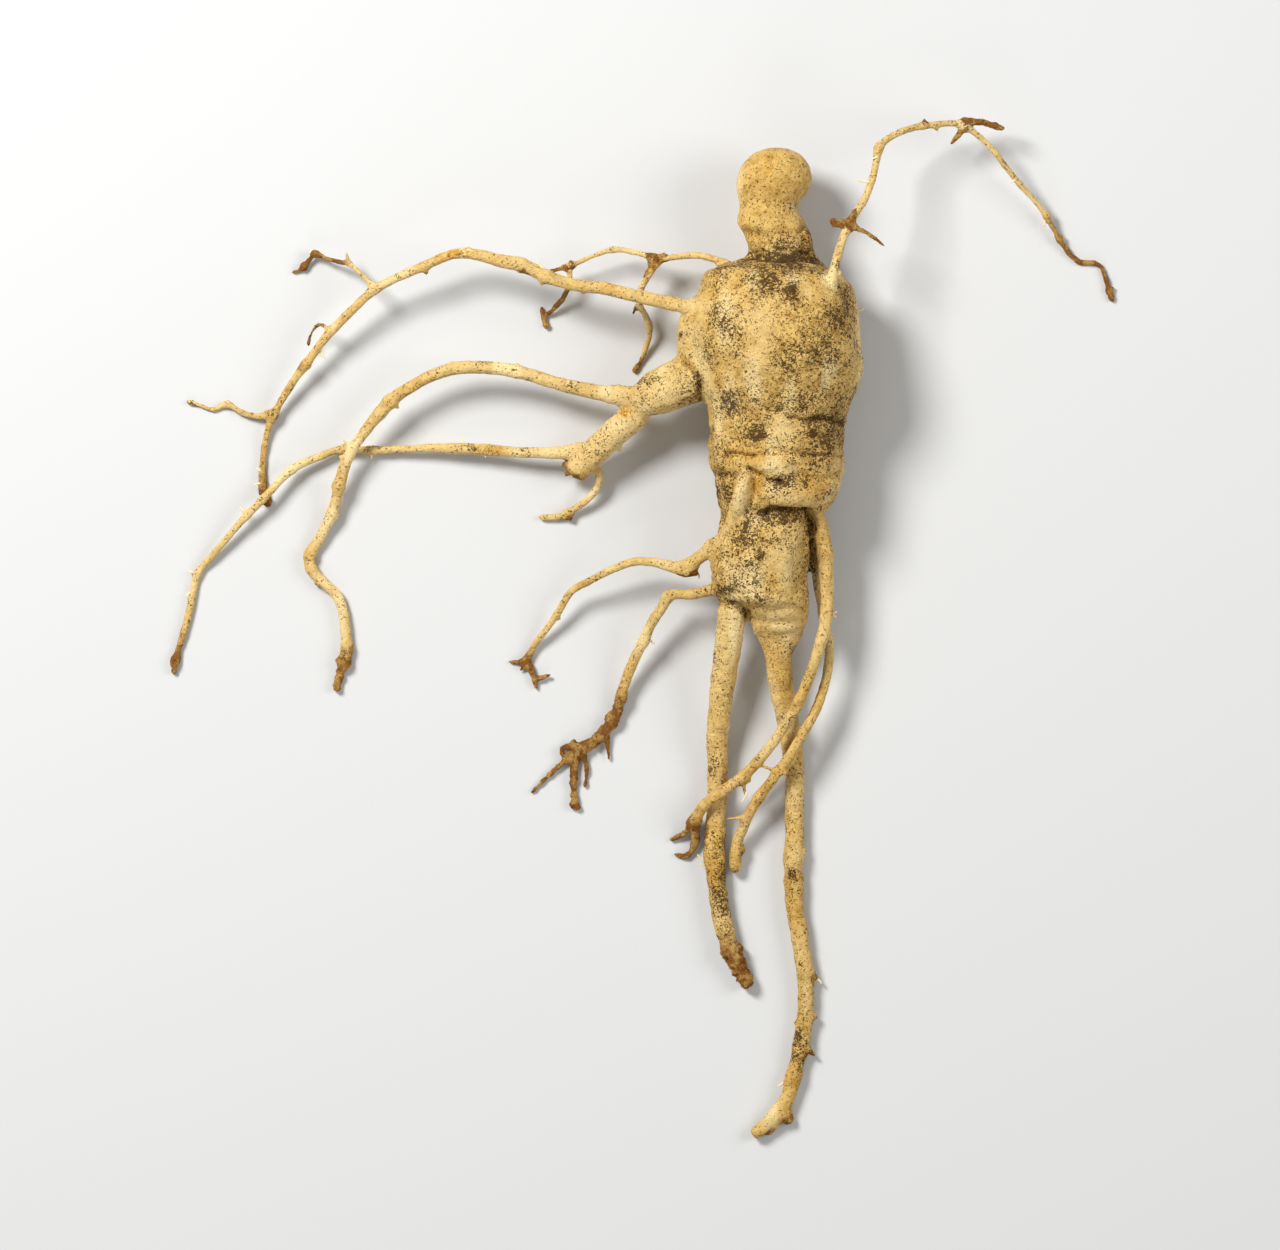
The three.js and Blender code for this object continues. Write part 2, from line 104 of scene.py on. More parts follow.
# path: the bends, each x, y and height of the underside.
# width: thickness at even steps from the base to the tip.
# dry: the share of its length at which a limb turns brown and fibrous.
LIMBS = {
    "shoulder_ridge": dict(path=[(-14, 14, 13), (-17, 10, 11.5), (-17.5, 3, 9.5), (-15, -5, 9)],
                           width=(6.5, 10)),
    "high_arm": dict(path=[
        (-14, 11, 15.5), (-20, 12, 15), (-30, 14, 13.8), (-38, 16, 13), (-45, 16.9, 12.2),
        (-50, 18.5, 11.5), (-55, 20.8, 11), (-60, 22, 10.6), (-66, 23.4, 10.2), (-69.5, 23.7, 10),
        (-73, 22.9, 9.6), (-78, 20.7, 9), (-84, 18.1, 8.4), (-88.5, 15.5, 7.8), (-93, 11.5, 6.8),
        (-98, 6.5, 5.6), (-103.5, -0.5, 4), (-107, -5.5, 2.8), (-110, -10.5, 1.6),
        (-112, -15, 0.8), (-113, -22, 0), (-113, -28, 0), (-111.6, -32, 0)],
        width=(3.1, 2.8, 2.8, 3.1, 2.3, 2.1, 2.2, 1.9, 1.5, 1.8), flare=1.4, dry=0.93),
    "high_arm_twig": dict(path=[
        (-88, 16, 8.6), (-91, 19, 7), (-94, 21.6, 4.6), (-96, 21.9, 3.4), (-99, 22.8, 2.2),
        (-101.6, 23.8, 1.4), (-103, 22.3, 0.8), (-104.6, 20.4, 0.2), (-106.9, 19.6, 0)],
        width=(1.4, 1.1, 1.2, 0.9), dry=0.35),
    "high_arm_hook": dict(path=[(-98, 6.8, 6.2), (-100.5, 8.2, 5.2), (-102.3, 6.2, 3.8), (-103, 3.3, 2.6)],
                          width=(1.1, 0.9), dry=0.2),
    "high_arm_side": dict(path=[
        (-110.5, -11.3, 1.8), (-114.5, -11.9, 0.8), (-118, -11, 0.2), (-121, -9.3, 0),
        (-124, -10.5, 0), (-127, -9.5, 0), (-130, -8.7, 0)], width=(1.7, 0.9)),
    "main_arm": dict(path=[(-8, -2, 8), (-15, -2.6, 8), (-19, -3.8, 7.8), (-23, -5.4, 7.4), (-27, -7.6, 7),
                           (-31, -9.6, 6.6)], width=(12, 11.8, 11, 10.2, 9.4)),
    "long_arm": dict(path=[
        (-29, -8.6, 7.6), (-36, -7.3, 8.2), (-45, -5.6, 8.2), (-50, -4.3, 8), (-55, -2.8, 7.8),
        (-60, -1.7, 7.7), (-67, -1.3, 7.5), (-72, -1.8, 7.3), (-76, -3.2, 7), (-80, -5.4, 6.7),
        (-84.4, -8.6, 6.3), (-87.4, -11.8, 5.9), (-90.4, -15.4, 5.3), (-93, -19, 4.6), (-94.9, -23, 3.6),
        (-96, -27, 2.6), (-97.5, -33, 1.2), (-100, -38, 0.3), (-102.6, -42.5, 0), (-102.6, -45, 0),
        (-99.6, -48.6, 0), (-96.8, -51.2, 0), (-95.4, -54.5, 0), (-94.8, -59, 0), (-94.5, -63, 0),
        (-95.2, -66.5, 0), (-96.2, -69.5, 0), (-96.9, -72.4, 0)],
        width=(3.5, 3.1, 2.9, 3, 2.9, 2.9, 2.5, 2.7, 2.5, 2.4, 2.6, 1.6), flare=3.2, dry=0.94),
    "elbow": dict(path=[(-29, -10, 6.6), (-33, -13.6, 5.6), (-37.5, -17.6, 4.6), (-41.5, -21.4, 3.4),
                        (-44.4, -25.2, 2.8)], width=(8, 6.8, 6.2, 6, 5.8), dry=0.95),
    "low_arm": dict(path=[
        (-40, -19, 5.4), (-46, -19.9, 4.8), (-56, -20, 3.8), (-63, -19.5, 3), (-72, -19, 2.2),
        (-82, -19.2, 1.5), (-90, -19.5, 1), (-96, -19.3, 1.1), (-101, -21, 1.6), (-106, -23.3, 2.2),
        (-109, -26, 2.7), (-112, -29.3, 2.9), (-116.5, -33.8, 2.4), (-120.6, -38.4, 1.6), (-124, -42.4, 0.8),
        (-127.4, -46.6, 0), (-128.6, -52, 0), (-130.6, -60, 0), (-132.3, -65.4, 0), (-133, -68.8, 0)],
        width=(2.5, 2.3, 2.4, 1.9, 1.9, 2, 1.8, 1.6, 1.8, 1.5), flare=1.8, dry=0.93),
    "elbow_curl": dict(path=[
        (-41, -22.3, 4.6), (-39, -24.3, 4), (-39, -27, 3), (-40.8, -29.8, 2), (-44, -32.3, 1),
        (-47, -34, 0.3), (-52, -34.3, 0)], width=(1.9, 1.5)),
    "back_arm": dict(path=[
        (-9, 21, 11), (-13, 22.3, 10.6), (-17, 23.2, 10), (-22, 23, 9), (-26, 22.6, 8),
        (-30, 23.8, 7.4), (-35.5, 24.6, 6.8), (-40, 23.3, 6.2), (-45, 21.2, 5.6), (-50, 19.8, 5)],
        width=(1.7, 1.1), dry=0.85),
    "back_arm_drop": dict(path=[
        (-25.8, 22.8, 8), (-28.3, 18.6, 7.2), (-29.7, 15.6, 6.2), (-29.9, 12.6, 5.4), (-28.3, 9.5, 4),
        (-27.7, 6.4, 2.6), (-28.6, 3, 1), (-29.8, 0, 0.2), (-31.4, -2.4, 0)],
        width=(2, 1.5, 1.5, 1.2), dry=0.85),
    "back_arm_end": dict(path=[(-45.5, 21.3, 5.4), (-45.3, 17.8, 4.4), (-46.6, 14.2, 3), (-49.2, 11.3, 1),
                               (-50.8, 10.4, 0.2)], width=(1.4, 1.1), dry=0.35),
    "back_arm_foot": dict(path=[(-51.5, 12.2, 0), (-50.9, 9.8, 0), (-50.4, 7, 0)], width=(1.2, 1.7), dry=0),
    "hip_high": dict(path=[
        (-6.5, -24.5, 21.8), (-7.8, -29.5, 19.8), (-9.2, -34.5, 16.6), (-11.3, -38.6, 13.8),
        (-14, -40.8, 11.6), (-17, -43.2, 10.6), (-19.6, -45.3, 9.8), (-23, -45, 9.3),
        (-27, -44.1, 8.8), (-31, -44, 8.2), (-36, -45.8, 7.2), (-41, -48.4, 5.8), (-45, -50.6, 4.6),
        (-47.5, -54.6, 3.2), (-50.2, -58.6, 1.8), (-53, -62.2, 0.6), (-55, -66, 0)],
        width=(3.6, 3.4, 3.2, 2.9, 2.1, 1.9, 1.8, 1.7, 1.6), dry=0.97),
    "hip_high_fork": dict(path=[(-54.8, -65.8, 0), (-53.4, -69, 0), (-52.4, -72.2, 0)],
                          width=(1.8, 1.2), dry=0),
    "hip_high_stub": dict(path=[(-54.5, -66.2, 0), (-59, -66, 0)], width=(1.6, 1), dry=0),
    "hip_low": dict(path=[
        (-9, -50, 10), (-14, -50.2, 9.6), (-19, -51.2, 9), (-23, -51.2, 8.2), (-25, -54, 7.2),
        (-27.5, -58, 5.8), (-29, -61.5, 4.6), (-31.5, -66.5, 3), (-33.4, -71.5, 1.6),
        (-34.6, -76, 0.6), (-37, -80.5, 0), (-40, -83.6, 0), (-45, -86.2, 0)],
        width=(2.1, 2.7), flare=1.2, dry=0.66),
    "hip_low_fork_a": dict(path=[(-44.5, -86.3, 0), (-49.5, -90.6, 0), (-54, -95.2, 0)],
                           width=(1.8, 0.9), dry=0),
    "hip_low_fork_b": dict(path=[(-44, -86.5, 0), (-44.5, -92.5, 0), (-44.2, -98.3, 0)],
                           width=(1.8, 1.6), dry=0),
    "hip_low_fork_c": dict(path=[(-42.5, -85, 0.4), (-41.6, -90, 0.2), (-42, -94, 0)],
                           width=(1.5, 1), dry=0),
    "crest": dict(path=[
        (11, 11, 21.5), (12, 16, 22.5), (13.3, 22, 21.8), (15, 27.3, 20.6), (17, 31.5, 19.4),
        (19.6, 35.6, 18), (21.3, 40, 16.8), (22.2, 44, 15.8), (23, 47.3, 14.8), (28, 50.5, 12.8),
        (34, 51.8, 10.8), (41, 52, 8.8), (47.5, 47, 6.6), (51, 42.6, 5.2), (54.4, 38.6, 4),
        (58.4, 34, 2.6), (60.6, 30.8, 1.6), (63.4, 26, 0.6), (67, 22.2, 0), (71.5, 21.4, 0),
        (73.2, 17.4, 0), (74.4, 13.2, 0)], width=(2.1, 1.1), flare=1, dry=0.78),
    "crest_cross": dict(path=[(12, 30.6, 20.6), (16, 29.6, 20.4), (20.5, 27.8, 20), (24, 25, 19.4)],
                        width=(1.6, 0.8), dry=0),
    "crest_fork_a": dict(path=[(40.5, 52.2, 8.8), (43, 52.8, 8.6), (50.6, 51.3, 7.8)],
                         width=(1.5, 1.6), dry=0),
    "crest_fork_b": dict(path=[(42, 51.4, 8.6), (40, 49.4, 8), (38.8, 47.6, 7.6)],
                         width=(1.4, 1.2), dry=0),
    "flank_front": dict(path=[
        (6.5, -31, 11), (9.4, -36, 10.6), (10.6, -41, 10), (11.2, -47, 9.6), (11.4, -53, 9.6),
        (10.9, -58.5, 9.7), (9.6, -63, 9.8), (7.2, -70, 9.4), (4.2, -76.5, 8.6), (0, -83, 7.6),
        (-4, -88, 6.8), (-7.5, -91.6, 6.2), (-12, -94.8, 5.8), (-15.5, -97.4, 4.4), (-18.2, -102, 1.6)],
        width=(4.6, 3, 2.5, 2.6, 2.4), flare=1.2, dry=0.97),
    "flank_front_fork_a": dict(path=[(-18, -101.4, 1.6), (-20.2, -104, 0.4), (-23.3, -105.2, 0)],
                               width=(2.2, 1), dry=0),
    "flank_front_fork_b": dict(path=[(-17.8, -101.6, 1.8), (-17.8, -106.2, 0.4), (-19.8, -108.9, 0),
                                     (-22.4, -108.3, 0)], width=(2.2, 1), dry=0),
    "flank_back": dict(path=[
        (7.5, -38, 9), (8.8, -44, 7.8), (9.4, -49, 7.2), (10.6, -55, 6.6), (11.7, -61, 6.5),
        (11.8, -66, 6.5), (10.8, -71.5, 6.6), (8.8, -76.5, 6.8), (6.2, -81.5, 7), (3.2, -86.5, 6.8),
        (0, -91, 6), (-3.5, -96, 4.8), (-6.3, -100.5, 3.2), (-8.2, -105.5, 1.6), (-8.9, -112.6, 0.6)],
        width=(2.1, 2.6), flare=0.6),
    "left_leg": dict(path=[
        (-8, -47, 8.6), (-9.3, -55, 7.6), (-10.5, -63, 5.8), (-11.8, -72, 4), (-12.6, -80, 2.2),
        (-12.8, -90, 0.6), (-13, -100, 0), (-13.4, -108, 0), (-12.8, -115, 0), (-12, -121, 0),
        (-10.6, -126.5, 0), (-8.6, -132, 0), (-5.6, -137.6, 0)],
        width=(7, 6.2, 5.4, 4.8, 4.5, 4.5, 4.4, 3.8), dry=0.87),
    "right_leg": dict(path=[
        (0.6, -56, 3.8), (0.7, -63, 3.8), (1.2, -70, 2.6), (2.2, -76.5, 1.6), (3.3, -82, 1),
        (4.2, -90, 0.2), (4.3, -100, 0), (4.2, -112, 0), (4.4, -120, 0), (5.6, -128, 0),
        (6.7, -135, 0), (6.7, -143, 0), (5.9, -149.5, 0), (4.4, -156, 0), (2.8, -161.5, 0),
        (0.6, -165.8, 0), (-4.8, -170.3, 0)], width=(5.2, 3.2), flare=5),
    "right_leg_stub": dict(path=[(1.6, -163.8, 0), (3, -168, 0)], width=(3, 2.2), dry=0.5),
}

# Knots where a limb thickens, seen from above: place, swelling of its width, reach.
KNOTS = [
    ((-51, 17.6), 0.9, 1.5), ((-56, 20.6), 0.5, 1.8), ((-37.4, 16.6), 0.4, 1), ((-77, 20.2), 0.4, 0.8),
    ((-88.5, 16), 0.5, 1.2), ((-103.5, -0.8), 0.8, 1), ((-107.5, -5.5), 0.3, 1.5),
    ((-111, -11.4), 1, 1.2), ((-113, -28), 0.6, 1.2), ((-112.4, -31), 0.8, 0.9),
    ((-93.8, 21.6), 0.7, 0.7), ((-101.5, 23.5), 0.8, 0.8), ((-104, 21), 0.8, 0.7),
    ((-121, -9.4), 0.9, 0.8), ((-129, -8.8), 0.6, 1), ((-84.4, -9.2), 0.8, 1.3), ((-87, -11.6), 0.4, 1),
    ((-57, -1.8), 0.3, 1), ((-96, -27.5), 0.6, 1.1), ((-97.5, -33.5), 0.6, 1.1),
    ((-102.8, -42.6), 0.9, 0.9), ((-102.3, -45.6), 0.6, 0.9), ((-100.5, -48.6), 0.7, 0.9),
    ((-94.2, -63), 0.8, 1), ((-95.5, -66.3), 1.5, 1.3), ((-96.9, -72), 1.3, 0.8),
    ((-66, -19.4), 0.3, 6), ((-89, -19.6), 0.5, 1.5), ((-95, -19), 0.7, 1.1), ((-107, -23.6), 0.4, 1.2),
    ((-116.5, -33.6), 0.5, 1.2), ((-127.4, -46.8), 0.5, 1), ((-132.5, -66), 0.6, 1),
    ((-26.4, 22.6), 1.6, 1.3), ((-35.6, 24.6), 0.4, 0.8), ((-45.3, 21.2), 0.7, 1),
    ((-27.7, 8.2), 0.5, 1), ((-30.8, -1.8), 0.4, 0.8), ((-38.8, -23.8), 0.4, 0.7),
    ((-45.8, -33.6), 0.9, 0.9), ((-52, -34.3), 0.7, 0.6), ((-14, -40.8), 0.9, 1.1),
    ((-19.5, -45.6), 1.6, 1.5), ((-17.6, -45), 0.8, 1), ((-54.8, -65.8), 1.1, 1),
    ((-47.8, -56), 0.4, 0.8), ((-24, -51.6), 0.5, 1.2), ((-29, -61.6), 0.5, 1), ((-34.6, -73), 0.8, 1),
    ((-36, -79), 0.5, 2), ((-44.5, -85.6), 1.6, 1.5), ((-44, -98), 1, 0.9), ((15.5, 30), 1.2, 1.2),
    ((12.6, 30.8), 0.7, 0.8), ((22.8, 46.6), 0.9, 1.2), ((32.5, 52), 0.4, 0.8), ((41.5, 51.8), 1, 1.3),
    ((48.4, 45.6), 0.3, 0.8), ((53.6, 39), 0.3, 0.8), ((59.9, 32), 0.7, 1), ((63, 27), 0.5, 0.8),
    ((74.2, 15.8), 0.8, 0.8), ((74.3, 13.4), 0.6, 0.5), ((-6.5, -91.8), 0.6, 1),
    ((-18, -101.2), 1.2, 1.3), ((-8, -107.8), 0.7, 1), ((-3.5, -96), 0.4, 1), ((-12.5, -104), 0.7, 1.2),
    ((-13.3, -109), 0.5, 1.5), ((-9, -131), 0.8, 2), ((4.2, -109), 0.7, 1.5), ((3.6, -114), 0.6, 1.2),
    ((7.6, -135), 0.7, 1.3), ((8, -144.5), 1, 1.3), ((5.4, -149), 0.5, 1.5), ((4.5, -157), 0.8, 1.6),
    ((1, -166), 1, 1.8), ((-4.6, -170.4), 0.6, 1), ((10.6, -55.5), 0.3, 1.5),
]

# Nubs and spurs that break a limb's outline: place, reach, thickness, dried or not.
SPURS = [
    ((-68, 24.6, 12), (0.8, 0.7, 0), 0.9, False), ((-76.8, 19.9, 10), (-0.3, -1, 0), 1.0, True),
    ((-57.5, 20.4, 12), (-1, 0, 0), 1.0, False), ((-51, 17.6, 12.6), (-0.6, -1.2, 0), 1.3, False),
    ((-56, 20, 12.4), (0.6, -0.5, 0), 1.3, True), ((-42, 15.6, 13.4), (-0.1, -1.2, 0), 0.9, False),
    ((-37.4, 17.2, 14.4), (-0.1, 0.5, 0), 0.9, False), ((-94, 22, 5.2), (-0.5, 2.4, 0), 1.0, False),
    ((-104, -0.2, 4.6), (-0.9, -1, 0), 1.1, True), ((-121, -9.3, 0.9), (0, 1, 0.2), 1.1, False),
    ((-57.2, -0.7, 9.6), (0.5, 0.6, 0), 1.0, False), ((-71, -0.5, 9), (-0.4, 0.8, 0), 1.0, False),
    ((-85.5, -8.4, 8), (-0.9, 0.9, 0), 1.2, False), ((-83.6, -9.8, 7.6), (0.8, -0.7, 0), 1.2, False),
    ((-94.6, -18, 6), (-0.6, 1.1, 0), 1.0, False), ((-95.6, -21, 5), (-0.9, 0.3, 0), 1.2, False),
    ((-96.6, -34, 2.2), (0.6, -0.5, 0), 1.4, False), ((-103, -41.8, 1.4), (-1.2, -0.6, 0), 1.6, False),
    ((-103, -45, 1.2), (-0.9, -0.3, 0), 1.3, False), ((-101, -48.4, 1.2), (-0.5, -0.8, 0), 1.3, True),
    ((-94.4, -63, 1.2), (1.4, -0.9, 0), 1.3, True), ((-95.2, -66, 1.2), (1.8, -0.9, 0), 1.2, True),
    ((-95.6, -65.4, 1.2), (-1.6, -0.5, 0), 1.2, True), ((-95.6, -67.2, 1.2), (-1.4, -1.2, 0), 1.0, True),
    ((-34.6, -5.8, 11), (-0.3, 0.9, 0), 2.2, False), ((-30, -13.8, 9), (0.6, -1.2, 0), 2.0, False),
    ((-34.5, -18.2, 7.6), (0.3, -1.6, 0), 1.8, False), ((-45.5, -22.6, 5), (-1.6, -0.2, 0), 1.8, True),
    ((-45.4, -24.4, 4.4), (-0.8, -0.9, 0), 1.4, True), ((-43, -25.4, 4.4), (0.5, -0.9, 0), 1.4, True),
    ((-38.7, -23.6, 5), (0.5, 0.4, 0), 1.0, False), ((-45.6, -33.4, 1.6), (0.6, -1.8, 0), 1.6, True),
    ((-51.8, -34.2, 1), (-0.4, 0.3, 0), 1.6, False), ((-45.3, 21.6, 6.4), (0.2, 1, 0), 1.3, True),
    ((-25.4, 23, 9.2), (1.2, 0.9, 0.2), 1.0, True), ((-27, 23, 9), (-0.9, 1.1, 0.2), 0.9, True),
    ((-25.4, 22.2, 9), (1.7, -0.4, 0.2), 0.9, True), ((-27.2, 22, 8.8), (-1.2, -0.4, 0.2), 0.9, True),
    ((-26.2, 22.6, 9.6), (0.2, 0.2, 0.7), 1.2, True), ((-28.4, 19.6, 8), (-0.5, 0.4, 0.4), 0.9, True),
    ((-27.8, 8, 4), (0.7, 0.8, 0), 1.1, False), ((-30.4, 12.4, 5.6), (-0.9, -2.2, -0.2), 0.9, True),
    ((-14, -40.2, 13.4), (-0.2, 1, 0.4), 1.9, False), ((-18.6, -45.6, 11), (1.2, -1.6, 0), 1.9, True),
    ((-20.4, -45.8, 10.6), (-0.4, -1, 0), 1.8, True), ((-47.8, -56.4, 3.2), (0.6, -0.6, 0), 1.1, False),
    ((-55, -66.4, 0.9), (-1.4, -1.8, 0), 1.1, True), ((-52.8, -70, 0.9), (3.4, 1.2, 0.4), 1.2, True),
    ((-24, -50.8, 9.2), (-0.7, 0.3, 0), 1.3, False), ((-34, -72.8, 2), (-1, 0.4, 0), 1.2, False),
    ((-37, -82.6, 1.2), (0.4, -5.2, -0.4), 1.2, True), ((-44.5, -84.6, 1.4), (0.2, 1.6, 0.3), 1.6, True),
    ((-46, -84.6, 1.4), (-1.6, -0.4, 0.2), 1.4, True), ((-46.8, -86.6, 1.2), (-0.6, 1.6, 0), 1.2, True),
    ((-44.2, -98, 1), (1.4, -0.2, 0), 1.7, True), ((-44.2, -98, 1), (-0.7, -0.3, 0), 1.3, True),
    ((16.4, 30.2, 21.4), (0.6, 3.2, 0), 1.1, True), ((12.6, 30.7, 21.4), (-0.7, 0.2, 0), 1.7, True),
    ((22.6, 47, 16), (-0.6, 0.8, 0), 1.3, False), ((32.5, 52, 12.4), (0.1, 1.6, 0), 1.1, True),
    ((35.4, 51.2, 11.2), (0.3, -0.8, 0), 1.1, False), ((60, 32.6, 2.8), (0.8, 0.3, 0), 1.3, False),
    ((63, 27.6, 1.4), (0.7, 0.2, 0), 1.2, True), ((74.2, 16.2, 0.9), (0.5, 0.4, 0), 1.5, True),
    ((74.3, 13.8, 0.9), (0.1, -0.4, 0), 1.6, True), ((-6.5, -92.2, 7.4), (1.4, 0.2, 0), 1.3, False),
    ((-6.8, -93, 7), (0.3, -2.6, 0), 1.0, False), ((1.6, -90.4, 8), (-4.4, 1.3, 0.2), 1.1, False),
    ((-6.6, -100, 5.2), (-4.4, -0.6, 0.4), 1.1, False), ((-18.4, -101.8, 3), (-1.4, 0.4, 0), 2.2, True),
    ((-17.2, -102.6, 3), (0.6, -0.2, 0), 2.0, True), ((-7.6, -107.6, 2.4), (1, -0.3, 0.2), 1.9, True),
    ((-12.4, -104.8, 4.6), (0.6, -2.2, 0), 1.6, False), ((6.4, -107.6, 2.6), (0.7, -0.3, 0), 1.7, False),
    ((2.6, -114, 2), (-1, -0.4, 0), 1.5, False), ((8.2, -134.4, 2), (1.3, -1.6, 0), 1.2, True),
    ((8.4, -144.2, 2), (0.9, -0.4, 0), 1.8, True), ((4.8, -145.6, 2), (-0.7, 0.2, 0), 1.4, False),
    ((7.4, -151.2, 2), (1.5, -1.6, 0), 1.3, True), ((2.8, -158, 2), (-1.1, -1.2, 0.2), 1.2, False),
    ((0, -168.2, 1), (-1.8, -2.2, 0), 1.5, True), ((-14.4, 19.4, 14), (-0.9, 0.3, 0.2), 2.2, False),
    ((6.6, 28.2, 15), (1, -0.2, 0.2), 2.6, False), ((13.8, 19.2, 17.4), (0.9, 0.3, 0), 1.5, False),
    ((-13.6, -22.6, 13), (-0.8, 0.1, 0), 2.4, False), ((-11.6, -51.6, 9), (-0.2, -0.8, 0), 2.0, False),
    ((13.2, -13, 13), (1.8, -0.4, 0), 1.8, False), ((13.4, -19.6, 13), (1.4, -0.2, 0), 1.8, False),
]

# Rootlet hairs too thin to join the skin: place, reach, thickness.
HAIRS = [
    ((-50.5, 19.6, 13), (-1.8, 2, 0.3), 0.55), ((-100, 2.4, 5.6), (1.1, -1.8, -0.2), 0.5),
    ((20.6, 39, 18), (-2.9, 0.5, 0.2), 0.45), ((59.8, 32, 2.6), (-0.7, -2.4, -0.4), 0.6),
    ((12.4, -55.4, 10.6), (1.1, 0.4, 0), 0.5), ((12.4, -56, 10.4), (0.9, -0.4, 0), 0.45),
    ((-29.3, -61, 5.8), (-1.8, -0.9, -0.2), 0.55), ((-28, -60.6, 5.8), (1.5, -1.6, -0.2), 0.55),
    ((-15.4, -109.6, 2.4), (-1.8, 1.2, 0.3), 0.4), ((-15.2, -111, 2.4), (-1.4, 0.4, 0.3), 0.4),
    ((-64, -20.4, 4), (0.3, -0.9, 0), 0.4), ((-68.6, -18, 3.6), (-0.4, 1, 0), 0.45),
    ((-69.5, -20, 3.4), (-0.9, -0.6, 0), 0.4), ((-61.6, -20.4, 4), (-0.6, -0.5, 0), 0.4),
    ((-89, -20, 2), (0.2, -1.5, 0), 0.55), ((-116.8, -33, 3.4), (-0.9, 0.9, 0), 0.6),
    ((22.2, 44.4, 17), (-1.1, -0.5, 0), 0.5),
    ((18, 10.8, 15.5), (1.4, 0.6, 0), 0.5), ((-34.4, -19.6, 7), (0.7, 0.1, 0.4), 0.5),
    ((-6.55, -95.2, 7), (-0.9, -1.8, -0.3), 0.5), ((1.8, -158.6, 2), (-1.3, -0.8, 0.2), 0.5),
    ((9.3, -136, 1.6), (0.9, -1, 0), 0.5), ((-102.2, 23.8, 2), (0.9, 0.9, 0.2), 0.5),
    ((-17.2, -46.6, 10.4), (0.4, -1.3, 0), 0.5), ((-21.8, -44.6, 10.6), (-0.6, 0.9, 0), 0.45),
    ((52.6, 39.8, 5.4), (-1, -0.6, 0), 0.5), ((-2.4, -89, 8), (-0.8, 0.6, 0.2), 0.5),
    ((-113.4, -27, 1.6), (-1.3, -0.4, 0), 0.5), ((-113.2, -24.1, 1.2), (-1.1, 0.5, 0), 0.45),
    ((-128, -46.4, 1), (-1, 0.3, 0), 0.5), ((-128.8, -51, 1), (-1, -0.9, 0), 0.45),
]

# Creases seen from above, pressed into the skin: bends, depth, half-width.
CREASES = [
    ([(-6.8, 28.2), (-3, 27.2), (1, 27.8), (5, 28.6), (7, 30.4)], 0.6, 0.8),
    ([(-6.4, 23.4), (-3, 22.7), (1, 22.4), (5, 22.8), (9.4, 22.4)], 1.5, 0.8),
    ([(0, 24.8), (4, 24.6), (7.8, 23.9)], 0.9, 0.5),
    ([(5.6, 29.2), (5.8, 27), (6, 24.4)], 0.5, 0.6),
    ([(-5, 35), (-1, 34), (3, 34.2), (5.2, 33.8)], 0.35, 1),
    ([(0.4, 45.6), (-1.4, 42.4), (-3.6, 39.2)], 0.4, 0.6),
    ([(-22.6, 1.8), (-20.4, 0.2), (-18.4, -2), (-17, -4.4), (-16.4, -9)], 1.5, 0.55),
    ([(3, -12.4), (6, -13), (9.6, -12.6), (15.6, -14)], 0.8, 0.6),
    ([(2, -15), (9, -16.4), (15, -17.4)], 0.3, 0.8),
    ([(-10.4, -20.3), (-7.6, -20.8), (-5, -21)], 1.3, 0.42),
    ([(-5, -21), (-1, -20.2), (3, -20.8), (8, -20.4), (14.6, -21)], 0.5, 0.6),
    ([(-6, -23.4), (-4, -24.8), (-2.4, -26.2), (1, -26.4)], 1.1, 0.5),
    ([(1, -26.4), (6, -25.4), (10, -26.6), (14, -24.6)], 0.5, 0.8),
    ([(-14.6, -24.6), (-12, -25), (-9.4, -25.2)], 0.8, 0.6),
    ([(-2.4, -34), (-0.6, -32.8), (3, -32.9), (7, -32.9), (8.2, -34.6), (8.4, -37)], 2.2, 0.8),
    ([(8, -33), (10.4, -31.8), (13.2, -30.6)], 0.8, 0.7),
    ([(-4.8, -26), (-5.2, -29), (-6.2, -33)], 0.6, 0.6), ([(-9.4, -26), (-10, -31), (-11.4, -36)], 0.6, 0.6),
    ([(-12, -53.4), (-8.4, -54), (-6.4, -55), (-5.6, -58)], 0.9, 0.6),
    ([(-5, -54.2), (0, -54.6), (4, -53.8), (7.4, -54)], 0.35, 0.7),
    ([(-5, -57), (0, -57.8), (6.4, -57)], 0.3, 0.7), ([(-4, -60.2), (1, -60.6), (5.8, -59.6)], 0.25, 0.7),
    ([(8, -38), (8.3, -43), (8.3, -50)], 1.0, 0.5),
    ([(-14, 20.6), (-12, 18.6), (-13, 16.4)], 0.5, 0.6), ([(-16, 17), (-11, 15.4), (-7, 16.4)], 0.35, 0.5),
]

# Swellings of the main root's upper side: middle, reach along x and y, height.
SWELLINGS = [
    ((5, 4), (10, 12), 0.5), ((-9, 12), (6, 6), 0.6), ((-3, -23), (5, 1.8), 0.7),
    ((5, -29.6), (8, 2.4), 1.3), ((1, -16), (6, 3), 0.5), ((11, 13), (5, 6), 0.5),
    ((2, -43), (4, 8), 0.6), ((-9, -47), (4, 5), 0.5), ((2, 43), (4, 3), 0.4),
    ((-12, -23), (3, 1.6), 0.6), ((11, -10), (4, 2), 0.5), ((-3, 2), (2, 10), 0.4),
    ((11, -18), (4, 2), 0.5), ((1, -56), (5, 1.6), 0.3), ((8, 26), (1.8, 2), 0.4),
    ((-5, 30), (3, 2), 0.3),
]

